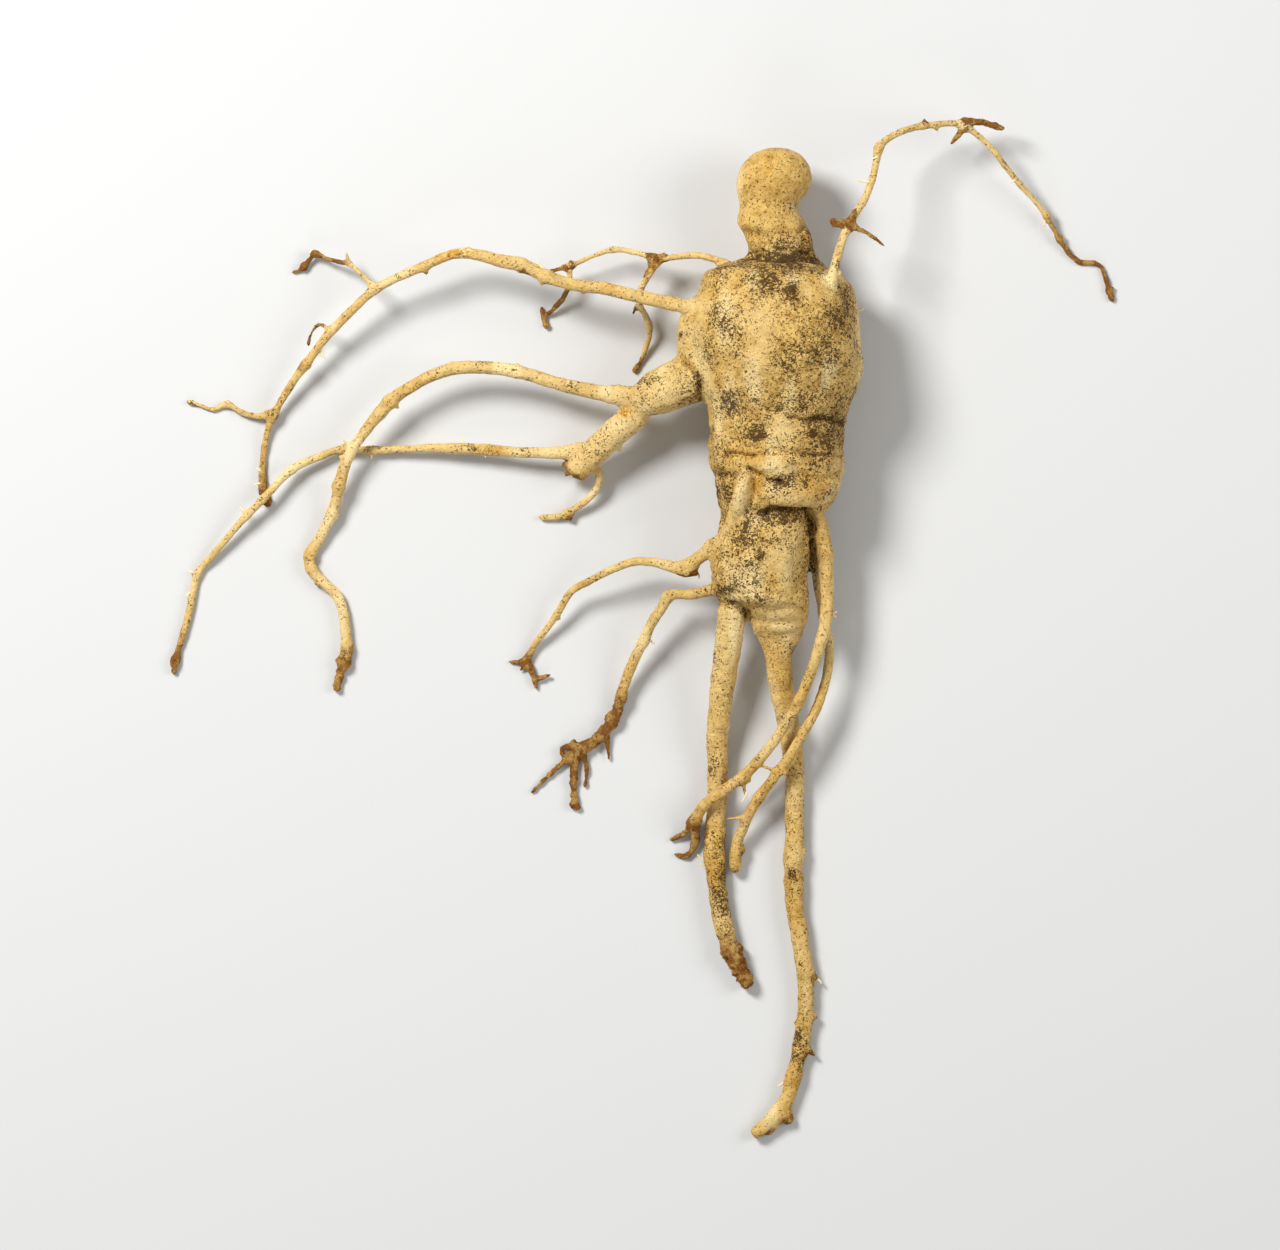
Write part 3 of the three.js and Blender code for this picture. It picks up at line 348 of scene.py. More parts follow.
# Patches that hold most soil, and some of painted shade, seen from above: middle, reach along x and y,
# strength.
SOIL_AND_SHADE_PATCHES = [
    ((-2.8, 38), (0.45, 0.3), 2.4), ((0.4, 34.4), (1.3, 0.6), 0.8), ((3.3, 33.2), (0.6, 1), 1.6),
    ((-2.4, 40.2), (0.3, 0.25), 2.2), ((1.9, 30), (0.3, 0.25), 2.2), ((-1, 31.6), (0.3, 0.25), 2),
    ((-5.6, 32.4), (0.3, 0.3), 1.8), ((-3.8, 44.6), (0.4, 0.3), 1.8), ((4.6, 40.8), (0.7, 0.3), 1.2),
    # The patch at (2, 23) is painted shadow along the neck crease.
    ((2, 23), (8, 1.1), 0.7), ((3.4, 14.4), (2, 2.6), 1.1), ((-1, 17), (2.4, 2), 0.6),
    ((16.4, 10), (1.6, 4), 1.0), ((-10, 18.6), (7, 2.6), 0.4), ((4, 20.4), (9, 1.4), 0.5),
    ((6.6, 28), (2, 2), 0.5), ((2, 26.8), (3.4, 1.4), 0.6), ((11, 8), (5, 9), 0.35),
    ((12, -6), (5, 6), 0.5), ((6, -1), (6, 6), 0.2), ((8, -12.8), (6, 1.4), 0.7),
    ((-5, -16.8), (3, 1), 0.8), ((6, -17), (4, 2.4), 0.6), ((13, -19), (3, 5), 0.3),
    ((-17.4, -7), (2, 4), 0.7), ((-18.6, 6), (1.4, 5), 0.6), ((-12, -29), (2, 3), 0.7),
    # The patch at (4, -34.2) is painted shade under the fold.
    ((2, -26.6), (5, 1.4), 0.5), ((12, -29), (2.4, 2), 0.7), ((4, -34.2), (4.6, 1.5), 0.9),
    ((-3, -35), (2, 1.4), 0.5), ((7.4, -36), (1, 3), 0.9), ((-7, -37), (2.4, 2.6), 0.6),
    ((-5.4, -39.8), (1.6, 1.2), 0.9), ((-3.2, -43), (0.7, 1.2), 1.6), ((-9.4, -47), (3.6, 4.4), 0.9),
    ((-10.6, -50.6), (1.6, 1.2), 1.3), ((-5, -46), (2, 3), 0.5), ((3.4, -47.4), (1.6, 1.6), 0.6),
    ((-4, -52.6), (4, 1.2), 0.5), ((7.4, -42), (1.4, 9), 0.6), ((-5.6, -56), (1.6, 1.4), 0.6),
    ((-27, -4), (4, 1.2), 0.9), ((-20, -9), (3, 1), 0.8), ((-27, -11.6), (2, 0.8), 0.6),
    ((-40, -18.6), (3, 2), 0.35), ((-13, -86), (1.6, 2.6), 0.5), ((3.9, -112.6), (1.1, 1.5), 2.4),
    ((-104, -1), (1.4, 1), 0.7), ((-107.5, -6), (1.2, 3), 0.8), ((-111, -11), (1.2, 1.2), 0.9),
    ((-66, -19.2), (7, 1.6), 1.2), ((-86, -19.4), (3, 1.2), 0.6), ((-12.4, -115), (3, 9), 1.4),
    ((5, -149), (3, 9), 0.9), ((5, -124), (3, 8), 0.5), ((5.6, -132.4), (0.7, 0.7), 1.2),
    ((-36, -5), (1.6, 0.8), 0.5), ((-57.4, -1.9), (0.7, 0.3), 2.0), ((-17.6, -45), (2.6, 1.6), 0.5),
    ((-20.6, 10), (1.4, 1), 0.6), ((-40, 17), (3, 0.8), 0.4), ((-26.6, 22.2), (2.2, 2), 1.3),
    ((-46, 20.6), (3.4, 1), 1.0), ((-28.4, 18.6), (1.4, 3), 0.7), ((-57, 20.8), (1.6, 0.9), 0.4),
]

# Clean pale skin, seen from above: middle, reach along x and y, strength.
CLEAN = [
    ((-3.4, 3), (2.6, 9), 0.5), ((-4, 10), (4, 3), 0.4), ((1.6, -15.4), (2.6, 3.4), 0.9),
    ((-12, -14), (1.6, 6), 0.4), ((2, -41), (3.4, 5), 0.7), ((1, -57), (6, 4.6), 0.7),
    ((-17.6, 4), (1.8, 6), 0.9), ((-7.4, -29), (1.7, 5), 0.9), ((4, -30.6), (6, 1.2), 0.6),
    ((4.4, 17.4), (2.4, 1.6), 0.5), ((-1.5, -23), (3, 1.2), 0.5), ((-8, 8), (3, 2.4), 0.3),
    ((-15.6, 12), (3, 1.6), 0.6), ((7, 15), (1.4, 2.4), 0.5), ((-11.4, -38), (1.6, 3), 0.5),
    ((17, 2), (1.6, 4), 0.4), ((12, 17.6), (2, 2.4), 0.6), ((-23, -6), (5, 3.4), 0.5),
]

# Rusty and ochre stains, and ochre painted shade in creases, seen from above: middle, reach along x and y,
# strength.
STAIN_AND_SHADE_PATCHES = [
    ((-33.2, -11), (1.8, 1.2), 1.8), ((-70, 23.4), (5, 1.8), 1.3), ((-44, -25.4), (2.6, 1.2), 1.0),
    ((-45.6, -34.4), (0.9, 1), 1.3), ((-13.4, -23.4), (2, 1), 0.8), ((-36.6, 17), (2, 1), 0.6),
    ((0.6, -57.6), (2, 0.7), 0.5), ((-18.6, 9.4), (2, 1.4), 0.8), ((-2, -25.4), (3.4, 1), 0.7),
    ((-4, -20.2), (7, 1), 0.5), ((-2, 42.6), (1, 3.6), 0.6), ((-66, -19.2), (7, 1.6), 0.7),
    ((-27, 21), (2.4, 3), 0.7), ((3, -166), (2, 2.4), 0.4), ((-12.4, -106), (1, 1.6), 1.0),
    ((-113, -24), (1.2, 4), 0.7), ((-98.4, -50), (3, 1.6), 0.5), ((-80, -6), (6, 2), 0.4),
    ((8, 17.6), (1.6, 1.6), 0.6), ((-12, 8.6), (1.4, 2.6), 0.6), ((7.6, 27.6), (1.2, 1.6), 0.8),
    ((-97, -71), (1.6, 2), 0.8), ((23, 46.4), (1.4, 1.6), 0.9), ((-6, -32), (1, 5), 0.3),
    ((-88, 16), (1.4, 1), 0.5), ((-9, -134), (3, 5), 0.5), ((-13.4, -113), (2, 5), 0.6),
    ((4, -158), (3, 5), 0.5), ((-4.6, -27.4), (0.8, 1.6), 0.9),
]


# ---- curves and noise ----------------------------------------------------------------------------

def smooth_route(points, step):
    """Points a fixed step apart on the centripetal Catmull-Rom curve through the bends."""
    p = np.array(points, float)
    p = np.vstack([2 * p[0] - p[1], p, 2 * p[-1] - p[-2]])
    fine = []
    for a, b, c, d in zip(p[:-3], p[1:-2], p[2:-1], p[3:]):
        t0 = 0.0
        t1 = t0 + max(np.linalg.norm(b - a) ** 0.5, 1e-4)
        t2 = t1 + max(np.linalg.norm(c - b) ** 0.5, 1e-4)
        t3 = t2 + max(np.linalg.norm(d - c) ** 0.5, 1e-4)
        t = np.linspace(t1, t2, 24, endpoint=False)[:, None]
        ab = (t1 - t) / (t1 - t0) * a + (t - t0) / (t1 - t0) * b
        bc = (t2 - t) / (t2 - t1) * b + (t - t1) / (t2 - t1) * c
        cd = (t3 - t) / (t3 - t2) * c + (t - t2) / (t3 - t2) * d
        abc = (t2 - t) / (t2 - t0) * ab + (t - t0) / (t2 - t0) * bc
        bcd = (t3 - t) / (t3 - t1) * bc + (t - t1) / (t3 - t1) * cd
        fine.append((t2 - t) / (t2 - t1) * abc + (t - t1) / (t2 - t1) * bcd)
    fine = np.vstack(fine + [p[-2:-1]])
    along = np.concatenate([[0], np.cumsum(np.linalg.norm(np.diff(fine, axis=0), axis=1))])
    wanted = np.linspace(0, along[-1], max(3, int(along[-1] / step)))
    return np.stack([np.interp(wanted, along, fine[:, k]) for k in range(fine.shape[1])], 1), wanted


def noise(points, scale, seed):
    """Smooth noise from -1 to 1 with lumps about scale millimetres across."""
    q = points / scale + seed * 17.31
    cell = np.floor(q).astype(np.int64)
    part = q - cell
    part = part * part * (3 - 2 * part)
    total = np.zeros(len(points))
    for corner in range(8):
        offset = np.array([corner & 1, corner >> 1 & 1, corner >> 2 & 1])
        x, y, z = (cell + offset).T
        mixed = (x * 73856093) ^ (y * 19349663) ^ (z * 83492791) ^ (seed * 2654435761)
        mixed = (mixed ^ (mixed >> 13)) * 1274126177
        value = ((mixed ^ (mixed >> 16)) & 0xFFFF) / 32767.5 - 1
        total += value * np.prod(np.where(offset, part, 1 - part), axis=1)
    return total


def smoothstep(low, high, value):
    """0 at low, 1 at high, and an even curve between them."""
    t = np.clip((value - low) / (high - low), 0, 1)
    return t * t * (3 - 2 * t)


def patch(points, middle, reach):
    """1 in the middle of an oval seen from above, falling softly to 0."""
    dx = (points[:, 0] - middle[0]) / reach[0]
    dy = (points[:, 1] - middle[1]) / reach[1]
    return np.exp(-(dx * dx + dy * dy))


def distance_to_line(points, bends):
    """How far each point is from a bent line, seen from above."""
    nearest = np.full(len(points), 1e9)
    xy = points[:, :2]
    for a, b in zip(np.array(bends[:-1], float), np.array(bends[1:], float)):
        t = np.clip((xy - a) @ (b - a) / ((b - a) @ (b - a)), 0, 1)
        nearest = np.minimum(nearest, np.linalg.norm(xy - a - t[:, None] * (b - a), axis=1))
    return nearest


# ---- closed tubes --------------------------------------------------------------------------------

class Tubes:
    """Closed tubes gathered into one mesh."""

    def __init__(self):
        self.points = []
        self.faces = []

    def add(self, middles, widths, depths, sides=SIDES, ahead=None):
        """A tube through the middles; its rings face along it, or all face ahead."""
        tangents = np.gradient(middles, axis=0) if ahead is None else np.tile(ahead, (len(middles), 1))
        tangents = tangents / np.linalg.norm(tangents, axis=1)[:, None]
        side = np.cross(tangents, (0, 0, 1))
        side /= np.maximum(np.linalg.norm(side, axis=1), 1e-6)[:, None]
        over = np.cross(side, tangents)
        start = len(self.points)
        angles = 2 * math.pi * np.arange(sides) / sides
        for middle, s, o, width, depth in zip(middles, side, over, widths, depths):
            ring = (middle + np.outer(np.cos(angles), s) * width / 2
                    + np.outer(np.sin(angles), o) * depth / 2)
            self.points.extend(ring)
        rings = len(middles)
        for r in range(rings - 1):
            for k in range(sides):
                a, b = start + r * sides + k, start + r * sides + (k + 1) % sides
                self.faces.append((a, b, b + sides, a + sides))
        self.faces.append(tuple(start + k for k in reversed(range(sides))))
        self.faces.append(tuple(start + (rings - 1) * sides + k for k in range(sides)))

    def mesh(self, name):
        made = bpy.data.meshes.new(name)
        made.from_pydata([tuple(p) for p in self.points], [], self.faces)
        made.update()
        return made


def limb_route(limb):
    """A limb's middles, its distance from its base, and its thickness there."""
    underside, along = smooth_route(limb["path"], RING_STEP)
    share = along / along[-1]
    width = np.interp(share, np.linspace(0, 1, len(limb["width"])), limb["width"])
    width = width + limb.get("flare", 0) * np.exp(-along / FLARE_LENGTH)
    middles = underside.copy()
    middles[:, 2] += width / 2
    for place, swelling, reach in KNOTS:
        width = width + swelling * patch(middles, place, (reach, reach))
    return middles, along, width


def rounded_ends(along, width):
    """A share of the width: 1 along a limb, easing to a half at both its ends."""
    to_end = np.minimum(along, along[-1] - along) / (width * 0.5)
    return np.where(to_end < 1, 0.5 + 0.5 * np.sqrt(np.clip(to_end, 0, 1)), 1)


def main_root_route():
    """The main root's middles, widths and depths from ring to ring."""
    rows = []
    for y, left, right, lift in MAIN_ROOT:
        width = right - left
        rows.append(((left + right) / 2, y, lift + width * DEPTH_SHARE / 2, width))
    route, _ = smooth_route(rows, RING_STEP)
    reach = int(DEPTH_EASE / RING_STEP)
    eased = np.convolve(np.pad(route[:, 3], reach, "edge"), np.hanning(2 * reach + 3)[1:-1], "valid")
    depth = np.minimum(eased / np.hanning(2 * reach + 3).sum(), route[:, 3] * 1.1) * DEPTH_SHARE
    middles = route[:, :3].copy()
    middles[:, 2] += (depth - route[:, 3] * DEPTH_SHARE) / 2
    return middles, route[:, 3], depth


def dryness(limb, share):
    """0 on fresh skin and 1 where a limb has dried brown."""
    start = limb.get("dry", 2)
    return smoothstep(start - 0.03, start + 0.05, share) if start else np.ones_like(share)


def spur_route(place, reach, thick, step):
    """A short tapering spur, slightly bent."""
    start = np.array(place, float)
    end = start + np.array(reach, float)
    bend = np.array([rng.uniform(-0.2, 0.2), rng.uniform(-0.2, 0.2), 0])
    middles, along = smooth_route([start - (end - start) * 0.3, (start + end) / 2 + bend, end], step)
    width = thick * (1.15 - 0.45 * along / along[-1]) * rounded_ends(along, np.full_like(along, thick))
    middles[:, 2] = np.maximum(middles[:, 2], width / 2 + GROUND)
    return middles, along, width


def root_tubes():
    """Every limb as a tube, and the samples along them that later steps measure from."""
    tubes = Tubes()
    middles, width, depth = main_root_route()
    tubes.add(middles, width, depth, sides=MAIN_SIDES, ahead=(0, -1, 0))
    samples = []
    for index, limb in enumerate(LIMBS.values()):
        middles, along, width = limb_route(limb)
        dry = dryness(limb, along / along[-1])
        ripple = 0.04 + 0.2 * dry
        lumpy = 1 + 0.05 * noise(middles, 4, index + 3) + ripple * noise(middles, 1.3, index + 40)
        shown = width * rounded_ends(along, width) * lumpy
        sway = np.stack([noise(middles, 5, index + 70), noise(middles, 5, index + 90), 0 * along], 1)
        middles = middles + sway * 0.06 * np.minimum(width, 3)[:, None]
        tubes.add(middles, shown, shown)
        samples.append(np.column_stack([middles, width / 2, along, dry]))
    limb_samples = np.vstack(samples)
    for place, reach, thick, dried in SPURS:
        middles, along, width = spur_route(place, reach, thick, SPUR_STEP)
        tubes.add(middles, width, width, sides=SPUR_SIDES)
        parent = np.linalg.norm(limb_samples[:, :3] - middles[0], axis=1).argmin()
        dry = np.maximum(limb_samples[parent, 5], dried * smoothstep(0.25, 0.5, along / along[-1]))
        samples.append(np.column_stack([middles, width / 2, along, dry]))
    return tubes, np.vstack(samples)


# ---- the joined skin -----------------------------------------------------------------------------

def with_modifier(obj, kind, **settings):
    """The mesh that obj gets from one modifier, which is then gone."""
    modifier = obj.modifiers.new("step", kind)
    for key, value in settings.items():
        setattr(modifier, key, value)
    bpy.context.view_layer.update()
    made = bpy.data.meshes.new_from_object(obj.evaluated_get(bpy.context.evaluated_depsgraph_get()))
    obj.modifiers.clear()
    old, obj.data = obj.data, made
    bpy.data.meshes.remove(old)
    return made


def positions(mesh):
    flat = np.empty(len(mesh.vertices) * 3, np.float32)
    mesh.vertices.foreach_get("co", flat)
    return flat.reshape(-1, 3).astype(float)


def normals(mesh):
    flat = np.empty(len(mesh.vertices) * 3, np.float32)
    mesh.vertex_normals.foreach_get("vector", flat)
    return flat.reshape(-1, 3).astype(float)


def set_positions(mesh, points):
    mesh.vertices.foreach_set("co", points.astype(np.float32).ravel())
    mesh.update()


def relax(mesh, points, amount, rounds):
    """Draws each point towards its neighbours' middle, by its own amount."""
    edges = np.empty(len(mesh.edges) * 2, np.int32)
    mesh.edges.foreach_get("vertices", edges)
    a, b = edges.reshape(-1, 2).T
    count = np.bincount(np.concatenate([a, b]), minlength=len(points))[:, None]
    for _ in range(rounds):
        total = np.zeros_like(points)
        for k in range(3):
            total[:, k] = (np.bincount(a, points[b, k], len(points))
                           + np.bincount(b, points[a, k], len(points)))
        points = points + (total / np.maximum(count, 1) - points) * amount[:, None]
    return points


def nearest_limb(points, samples):
    """For each point: how far outside the nearest limb, its radius, the distance along it, its dryness."""
    tree = kdtree.KDTree(len(samples))
    for index, sample in enumerate(samples):
        tree.insert(sample[:3], index)
    tree.balance()
    found = np.array([tree.find(point)[1:] for point in points])
    best = samples[found[:, 0].astype(int)]
    return found[:, 1] - best[:, 3], best[:, 3], best[:, 4], best[:, 5]


def outside_main_root(points, middles, width, depth):
    """How far each point is outside the main root's smooth form, in millimetres."""
    order = np.argsort(middles[:, 1])
    y = middles[order, 1]
    profile = (middles[:, 0], middles[:, 2], width, depth)
    x0, z0, w, d = (np.interp(points[:, 1], y, values[order]) for values in profile)
    reach = np.hypot((points[:, 0] - x0) * 2 / w, (points[:, 2] - z0) * 2 / d)
    past = np.maximum(points[:, 1] - y[-1], 0) + np.maximum(y[0] - points[:, 1], 0)
    return (reach - 1) * w / 2 + past


def skin_rise(points, along, radius, dry, on_main, head, facing):
    """How far the skin stands out from the joined tubes: lumps, wrinkles, rings and fibres."""
    waist = sum(patch(points, (0, y), (60, reach)) for y, reach in WAISTS)
    wrinkled = 1 - np.abs(noise(points * (0.34, 1.5, 0.34), 2.4, 5))
    rise = on_main * (1 - 0.7 * head) * (
        0.5 * noise(points, 11, 1) + 0.3 * noise(points, 5, 2) + 0.22 * noise(points, 2.2, 3))
    rise -= on_main * (1 - head) * (0.08 + 0.30 * np.clip(waist, 0, 1)) * wrinkled ** 5
    rise += (0.04 + 0.07 * on_main) * noise(points, 1.0, 4) * (1 - 0.6 * head)
    for middle, reach, height in SWELLINGS:
        rise += height * patch(points, middle, reach) * facing * on_main
    limb = 1 - on_main
    thin = np.minimum(radius, 2.2)
    rings = np.abs(noise(np.column_stack([along * 1.6, radius, radius]), 1.0, 21))
    rise -= limb * thin * 0.05 * (1 - rings) ** 4
    rise += limb * (1 - dry) * thin * 0.06 * noise(points, 1.7, 22)
    rise += limb * dry * thin * 0.28 * (noise(points, 0.9, 23) + 0.6 * noise(points, 0.5, 24))
    return rise


def inside_cad_box(points):
    """The points drawn in axis by axis, so that they reach as far as the CAD part and no further."""
    low, high = np.array(cad_low) / MM, np.array(cad_high) / MM
    own_low, own_high = points.min(0), points.max(0)
    low[2] = own_low[2]
    return low + (points - own_low) * (high - low) / (own_high - own_low)


def sculpt(mesh, samples):
    """Folds, wrinkles and lumps, and the masks that colour them."""
    points = positions(mesh)
    middles, width, depth = main_root_route()
    gap, radius, along, dry = nearest_limb(points, samples)
    outside = outside_main_root(points, middles, width, depth)
    on_main = smoothstep(1.2, -0.4, outside - gap)
    points = relax(mesh, points, 0.15 + 0.45 * on_main, RELAX_ROUNDS)
    set_positions(mesh, points)
    out = normals(mesh)
    facing = smoothstep(-0.15, 0.45, out[:, 2])
    head = smoothstep(*NECK, points[:, 1]) * on_main

    rise = skin_rise(points, along, radius, dry, on_main, head, facing)
    # Where the creases lie, kept for painting shade into them in the colour masks.
    crease_shade = np.zeros(len(points))
    wavering = points + np.stack([noise(points, 4, 11), noise(points, 4, 12), 0 * rise], 1) * 0.5
    for bends, depth, half_width in CREASES:
        near = np.exp(-(distance_to_line(wavering, bends) / half_width) ** 2)
        rise -= depth * near * facing * np.maximum(on_main, outside < 3)
        crease_shade = np.maximum(crease_shade, near * facing * min(1, depth))
    points = points + out * rise[:, None]
    points[:, 2] = np.maximum(points[:, 2], GROUND)
    points = inside_cad_box(points)
    set_positions(mesh, points)

    low = smoothstep(*LEGS, points[:, 1])
    clean = sum(strength * patch(wavering, middle, reach) for middle, reach, strength in CLEAN)
    # The soil and stain masks hold real soil and stains, and painted shade in the creases as well.
    soil_and_shade = on_main * (1 - 0.8 * head) * (0.56 + 0.45 * noise(points, 6, 31) + 0.28 * noise(points, 2.4, 34))
    soil_and_shade += (1 - on_main) * (0.14 + 0.14 * low + 0.2 * dry)
    soil_and_shade += (1 - on_main) * (0.45 * noise(points, 5, 35) + 0.25 * noise(points, 2, 37))
    for middle, reach, strength in SOIL_AND_SHADE_PATCHES:
        soil_and_shade += 0.55 * strength * patch(wavering, middle, reach)
    # Painted shade in the creases: darker here, more ochre on the next line, and less pale in the pale mask
    # below.
    soil_and_shade += 0.35 * crease_shade - 0.55 * clean * on_main
    stain_and_shade = 0.45 * crease_shade + (0.35 + 0.3 * (1 - on_main)) * np.clip(noise(points, 7, 32), 0, 1)
    for middle, reach, strength in STAIN_AND_SHADE_PATCHES:
        stain_and_shade += strength * patch(wavering, middle, reach)
    pale = smoothstep(0.1, 0.8, noise(points * (1, 0.35, 1), 4, 33)) * (1 - 0.5 * crease_shade) + 0.8 * clean
    pale += (1 - on_main) * (0.5 - 0.4 * low + 0.5 * noise(points, 6, 36))
    masks = {"soil_and_shade": soil_and_shade, "stain_and_shade": stain_and_shade, "pale": pale, "dry": dry * (1 - on_main)}
    for name, values in masks.items():
        layer = mesh.attributes.new(name, "FLOAT", "POINT")
        layer.data.foreach_set("value", np.clip(values, 0, MOST_MASK).astype(np.float32))


def finish_mesh(mesh):
    """Millimetres to metres, and smooth shading."""
    mesh.transform(Matrix.Scale(MM, 4))
    mesh.polygons.foreach_set("use_smooth", [True] * len(mesh.polygons))
    mesh.update()


def build_root():
    """The joined, sculpted skin of the whole root."""
    tubes, samples = root_tubes()
    root = bpy.data.objects.new("root_skin", tubes.mesh("root_skin"))
    bpy.context.scene.collection.objects.link(root)
    with_modifier(root, "REMESH", mode="VOXEL", voxel_size=VOXEL, use_smooth_shade=True)
    sculpt(root.data, samples)
    faces = sum(len(p.vertices) - 2 for p in root.data.polygons)
    if faces > MOST_FACES:
        with_modifier(root, "DECIMATE", ratio=MOST_FACES / faces)
    finish_mesh(root.data)
    return root


def build_hairs():
    """Fine closed tubes, rooted in the skin."""
    tubes = Tubes()
    for place, reach, thick in HAIRS:
        middles, _, width = spur_route(place, reach, thick, HAIR_STEP)
        tubes.add(middles, width, width, sides=HAIR_SIDES)
    hairs = bpy.data.objects.new("root_hairs", tubes.mesh("root_hairs"))
    bpy.context.scene.collection.objects.link(hairs)
    finish_mesh(hairs.data)
    return hairs


# ---- materials -----------------------------------------------------------------------------------

class Nodes:
    """A material's node tree, with short names for the nodes that a skin needs."""

    def __init__(self, name):
        self.material = bpy.data.materials.new(name)
        self.material.use_nodes = True
        self.tree = self.material.node_tree
        self.shader = self.tree.nodes["Principled BSDF"]
        scaled = self.tree.nodes.new("ShaderNodeVectorMath")
        scaled.operation = "SCALE"
        scaled.inputs["Scale"].default_value = 1 / MM
        self.link(self.tree.nodes.new("ShaderNodeTexCoord").outputs["Object"], scaled.inputs[0])
        self.place = scaled.outputs["Vector"]  # in millimetres

    def link(self, source, socket):
        """Links an output to the socket, or sets a number or a colour on it."""
        if isinstance(source, (int, float)):
            socket.default_value = source
        elif isinstance(source, tuple):
            socket.default_value = (*source, 1)
        else:
            self.tree.links.new(source, socket)

    def math(self, operation, a, b=0.0, clamp=False):
        node = self.tree.nodes.new("ShaderNodeMath")
        node.operation = operation
        node.use_clamp = clamp
        self.link(a, node.inputs[0])
        self.link(b, node.inputs[1])
        return node.outputs[0]

    def attribute(self, name):
        node = self.tree.nodes.new("ShaderNodeAttribute")
        node.attribute_name = name
        return node.outputs["Fac"]

    def noise(self, size, detail, rough, twist=0.0):
        """Noise with lumps about size millimetres across."""
        node = self.tree.nodes.new("ShaderNodeTexNoise")
        node.inputs["Scale"].default_value = 1 / size
        node.inputs["Detail"].default_value = detail
        node.inputs["Roughness"].default_value = rough
        node.inputs["Distortion"].default_value = twist
        self.link(self.place, node.inputs["Vector"])
        return node.outputs["Fac"]

    def ramp(self, value, low, high):
        node = self.tree.nodes.new("ShaderNodeMapRange")
        node.interpolation_type = "SMOOTHSTEP"
        self.link(value, node.inputs["Value"])
        self.link(low, node.inputs["From Min"])
        self.link(high, node.inputs["From Max"])
        return node.outputs["Result"]

    def mix(self, amount, a, b):
        node = self.tree.nodes.new("ShaderNodeMix")
        node.data_type = "RGBA"
        self.link(amount, node.inputs["Factor"])
        self.link(a, node.inputs[6])
        self.link(b, node.inputs[7])
        return node.outputs[2]

    def bump(self, height, strength, distance):
        node = self.tree.nodes.new("ShaderNodeBump")
        node.inputs["Strength"].default_value = strength
        node.inputs["Distance"].default_value = distance * MM
        self.link(height, node.inputs["Height"])
        return node.outputs["Normal"]


CREAM = (0.71, 0.46, 0.135)
IVORY = (0.88, 0.67, 0.31)
TAN = (0.44, 0.235, 0.042)
# Ochre of real stains, also used as painted shade in the creases.
OCHRE = (0.56, 0.27, 0.014)
# Dark bark, also painted shade in the gaps between fibres.
BARK_AND_GAP_SHADE = (0.070, 0.022, 0.004)
RUST = (0.40, 0.145, 0.018)
FRAY = (0.78, 0.44, 0.11)
# Soil specks, also painted shade where they crowd into the creases.
DARK_SOIL_AND_SHADE = (0.042, 0.015, 0.002)
# Dust brown, also painted shade in the creases, the neck crease and under the fold.
DUST_AND_SHADE_BROWN = (0.25, 0.115, 0.014)
HAIR = (0.84, 0.68, 0.40)


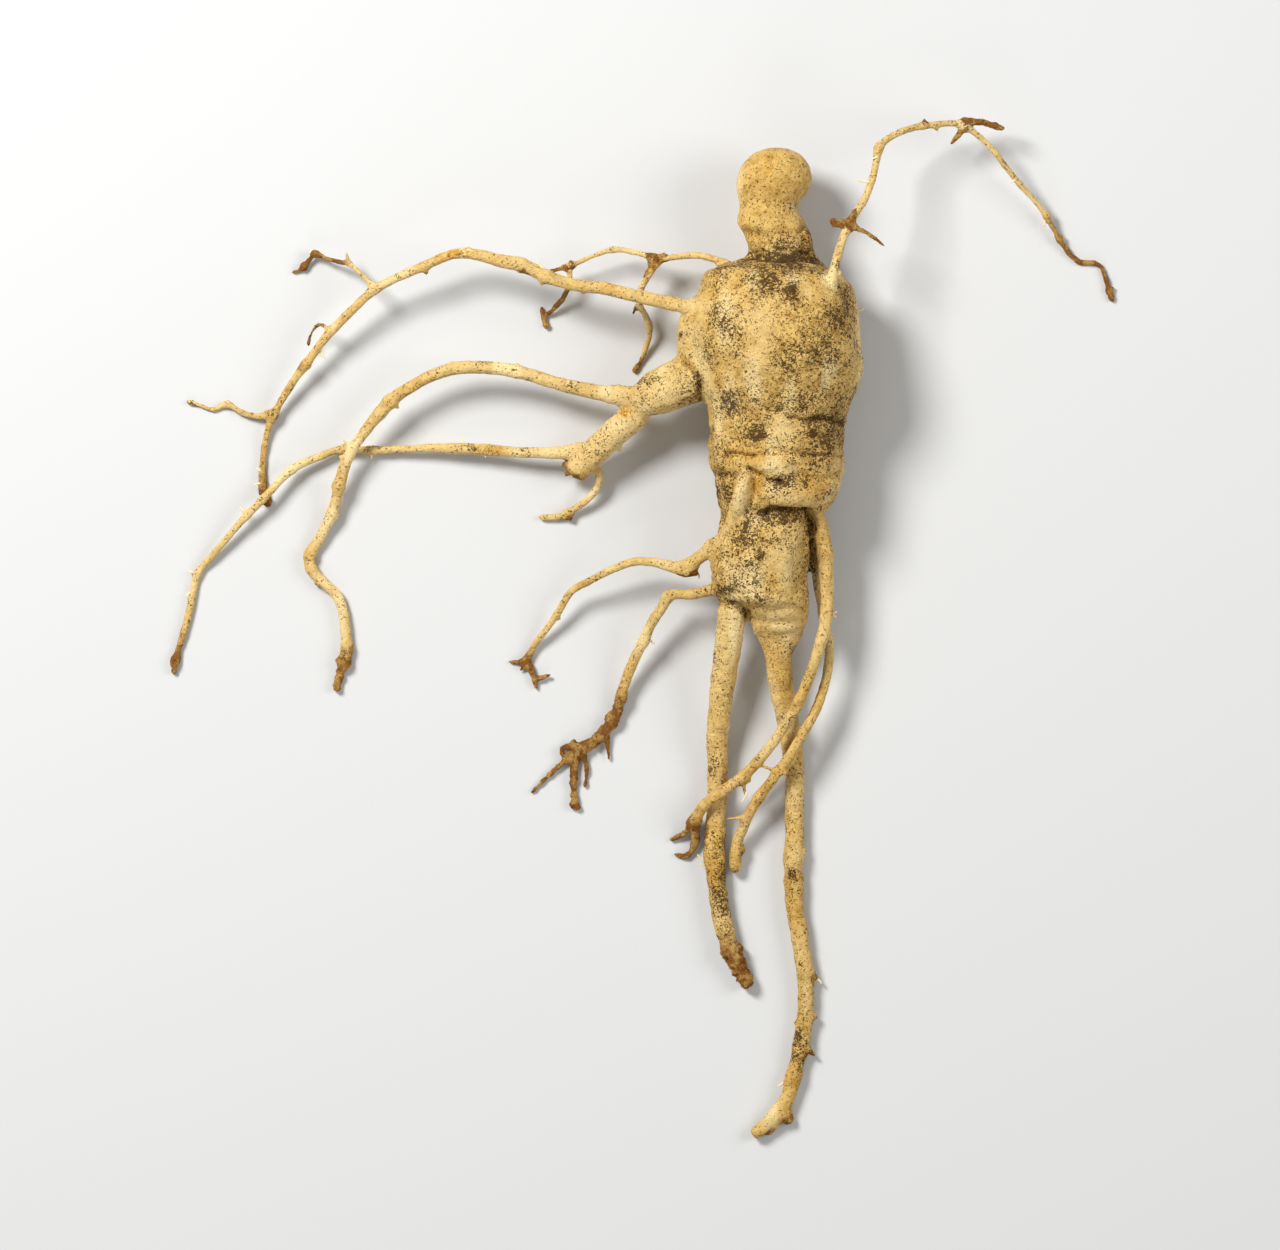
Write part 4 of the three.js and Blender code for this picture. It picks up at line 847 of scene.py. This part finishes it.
def root_material():
    n = Nodes("root_skin")
    soil_and_shade, stain_and_shade = n.attribute("soil_and_shade"), n.attribute("stain_and_shade")
    pale, dry = n.attribute("pale"), n.attribute("dry")

    mottle = n.ramp(n.noise(2.2, 4.0, 0.65), 0.40, 0.64)
    colour = n.mix(n.math("MULTIPLY", mottle, 0.7), CREAM, TAN)
    colour = n.mix(n.math("MULTIPLY", pale, 0.75, clamp=True), colour, IVORY)
    # Ochre where stained, and painted shade in the creases, which the stain mask also holds.
    rust_and_shade = n.math("MULTIPLY", stain_and_shade, n.ramp(n.noise(0.9, 3.0, 0.65), 0.34, 0.66), clamp=True)
    colour = n.mix(rust_and_shade, colour, OCHRE)
    # Dust brown where soiled, and painted shade in the creases, the neck crease and under the fold.
    dust_and_shade = n.math("MULTIPLY", n.ramp(soil_and_shade, 0.6, 1.8), n.ramp(n.noise(1.4, 4.0, 0.65), 0.36, 0.60))
    colour = n.mix(dust_and_shade, colour, DUST_AND_SHADE_BROWN)

    # Dark specks grow denser with the soil mask, so they are also painted shade in the creases.
    reach = n.math("MULTIPLY", soil_and_shade, 0.19)
    specks = n.ramp(n.noise(0.58, 2.5, 0.62, twist=1.2), n.math("SUBTRACT", 0.665, reach),
                    n.math("SUBTRACT", 0.695, reach))
    clumps = n.ramp(n.noise(1.9, 4.0, 0.7, twist=0.8), n.math("SUBTRACT", 0.73, reach),
                    n.math("SUBTRACT", 0.78, reach))
    pores = n.ramp(n.noise(0.5, 1.0, 0.5), 0.65, 0.69)
    grime_and_shade = n.math("MAXIMUM", specks, n.math("MAXIMUM", clumps, n.math("MULTIPLY", pores, 0.8)))
    colour = n.mix(n.math("MULTIPLY", grime_and_shade, 0.9), colour, DARK_SOIL_AND_SHADE)

    fibre = n.noise(0.55, 4.0, 0.7, twist=2.2)
    dried = n.mix(n.ramp(n.noise(2.4, 2.0, 0.5), 0.42, 0.60), RUST, FRAY)
    # Dark in the troughs of the fibre bump: partly dark bark, partly painted shade between fibres.
    dried = n.mix(n.math("MULTIPLY", n.ramp(fibre, 0.49, 0.43), 0.85), dried, BARK_AND_GAP_SHADE)
    colour = n.mix(n.math("MULTIPLY", dry, 0.95, clamp=True), colour, dried)
    n.link(colour, n.shader.inputs["Base Color"])

    n.link(n.math("ADD", 0.46, n.math("MULTIPLY", n.math("MAXIMUM", grime_and_shade, dry), 0.4)),
           n.shader.inputs["Roughness"])
    n.shader.inputs["Specular IOR Level"].default_value = 0.22
    height = n.math("ADD", n.noise(0.6, 4.0, 0.7), n.math("MULTIPLY", grime_and_shade, -0.35))
    height = n.math("ADD", height, n.math("MULTIPLY", n.math("MULTIPLY", fibre, dry), 1.6))
    n.link(n.bump(height, 1.0, 0.55), n.shader.inputs["Normal"])
    return n.material


def hair_material():
    n = Nodes("root_hairs")
    n.link(HAIR, n.shader.inputs["Base Color"])
    n.shader.inputs["Roughness"].default_value = 0.6
    return n.material


def floor_material():
    n = Nodes("floor")
    n.shader.inputs["Base Color"].default_value = (*FLOOR_TONE, 1)
    n.shader.inputs["Roughness"].default_value = 0.9
    return n.material


# ---- the studio ----------------------------------------------------------------------------------

def add_camera():
    """Looks straight down from close to the root's middle, with a long lens."""
    data = bpy.data.cameras.new("camera")
    camera = bpy.data.objects.new("camera", data)
    bpy.context.scene.collection.objects.link(camera)
    middle = (Vector(cad_low) + Vector(cad_high)) / 2
    camera.location = (middle.x + CAMERA_SHIFT[0] * MM, middle.y + CAMERA_SHIFT[1] * MM, CAMERA_HEIGHT)
    data.sensor_width = SENSOR
    data.lens = SENSOR * CAMERA_HEIGHT / ((cad_high[0] - cad_low[0]) * SHOWN)
    data.clip_end = 20
    bpy.context.scene.camera = camera


def add_floor():
    mesh = bpy.data.meshes.new("floor")
    corners = [(x * FLOOR_HALF, y * FLOOR_HALF, 0) for x, y in ((-1, -1), (1, -1), (1, 1), (-1, 1))]
    mesh.from_pydata(corners, [], [(0, 1, 2, 3)])
    floor = bpy.data.objects.new("floor", mesh)
    floor.data.materials.append(floor_material())
    bpy.context.scene.collection.objects.link(floor)


def add_lights():
    """A key from the upper left, a weaker fill from the right, and a little light from all round."""
    lights = (("key", (-0.55, 0.45, 0.75), 0.35, 13.5), ("fill", (0.8, 0.1, 0.6), 0.6, 4.5),
              ("low", (-0.1, -0.9, 0.5), 0.6, 2.0))
    for name, place, size, power in lights:
        data = bpy.data.lights.new(name, "AREA")
        data.shape = "DISK"
        data.size = size
        data.energy = power
        light = bpy.data.objects.new(name, data)
        light.location = place
        light.rotation_euler = (-Vector(place)).to_track_quat("-Z", "Y").to_euler()
        bpy.context.scene.collection.objects.link(light)
    world = bpy.data.worlds.new("studio")
    world.use_nodes = True
    world.node_tree.nodes["Background"].inputs["Color"].default_value = (1, 1, 1, 1)
    world.node_tree.nodes["Background"].inputs["Strength"].default_value = 0.22
    bpy.context.scene.world = world
    bpy.context.scene.view_settings.view_transform = "Standard"


add_camera()
add_floor()
add_lights()

skin = build_root()
skin.data.materials.append(root_material())
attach(skin, "root")
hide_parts("ginseng_root")

hairs = build_hairs()
hairs.data.materials.append(hair_material())
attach(hairs, "root")
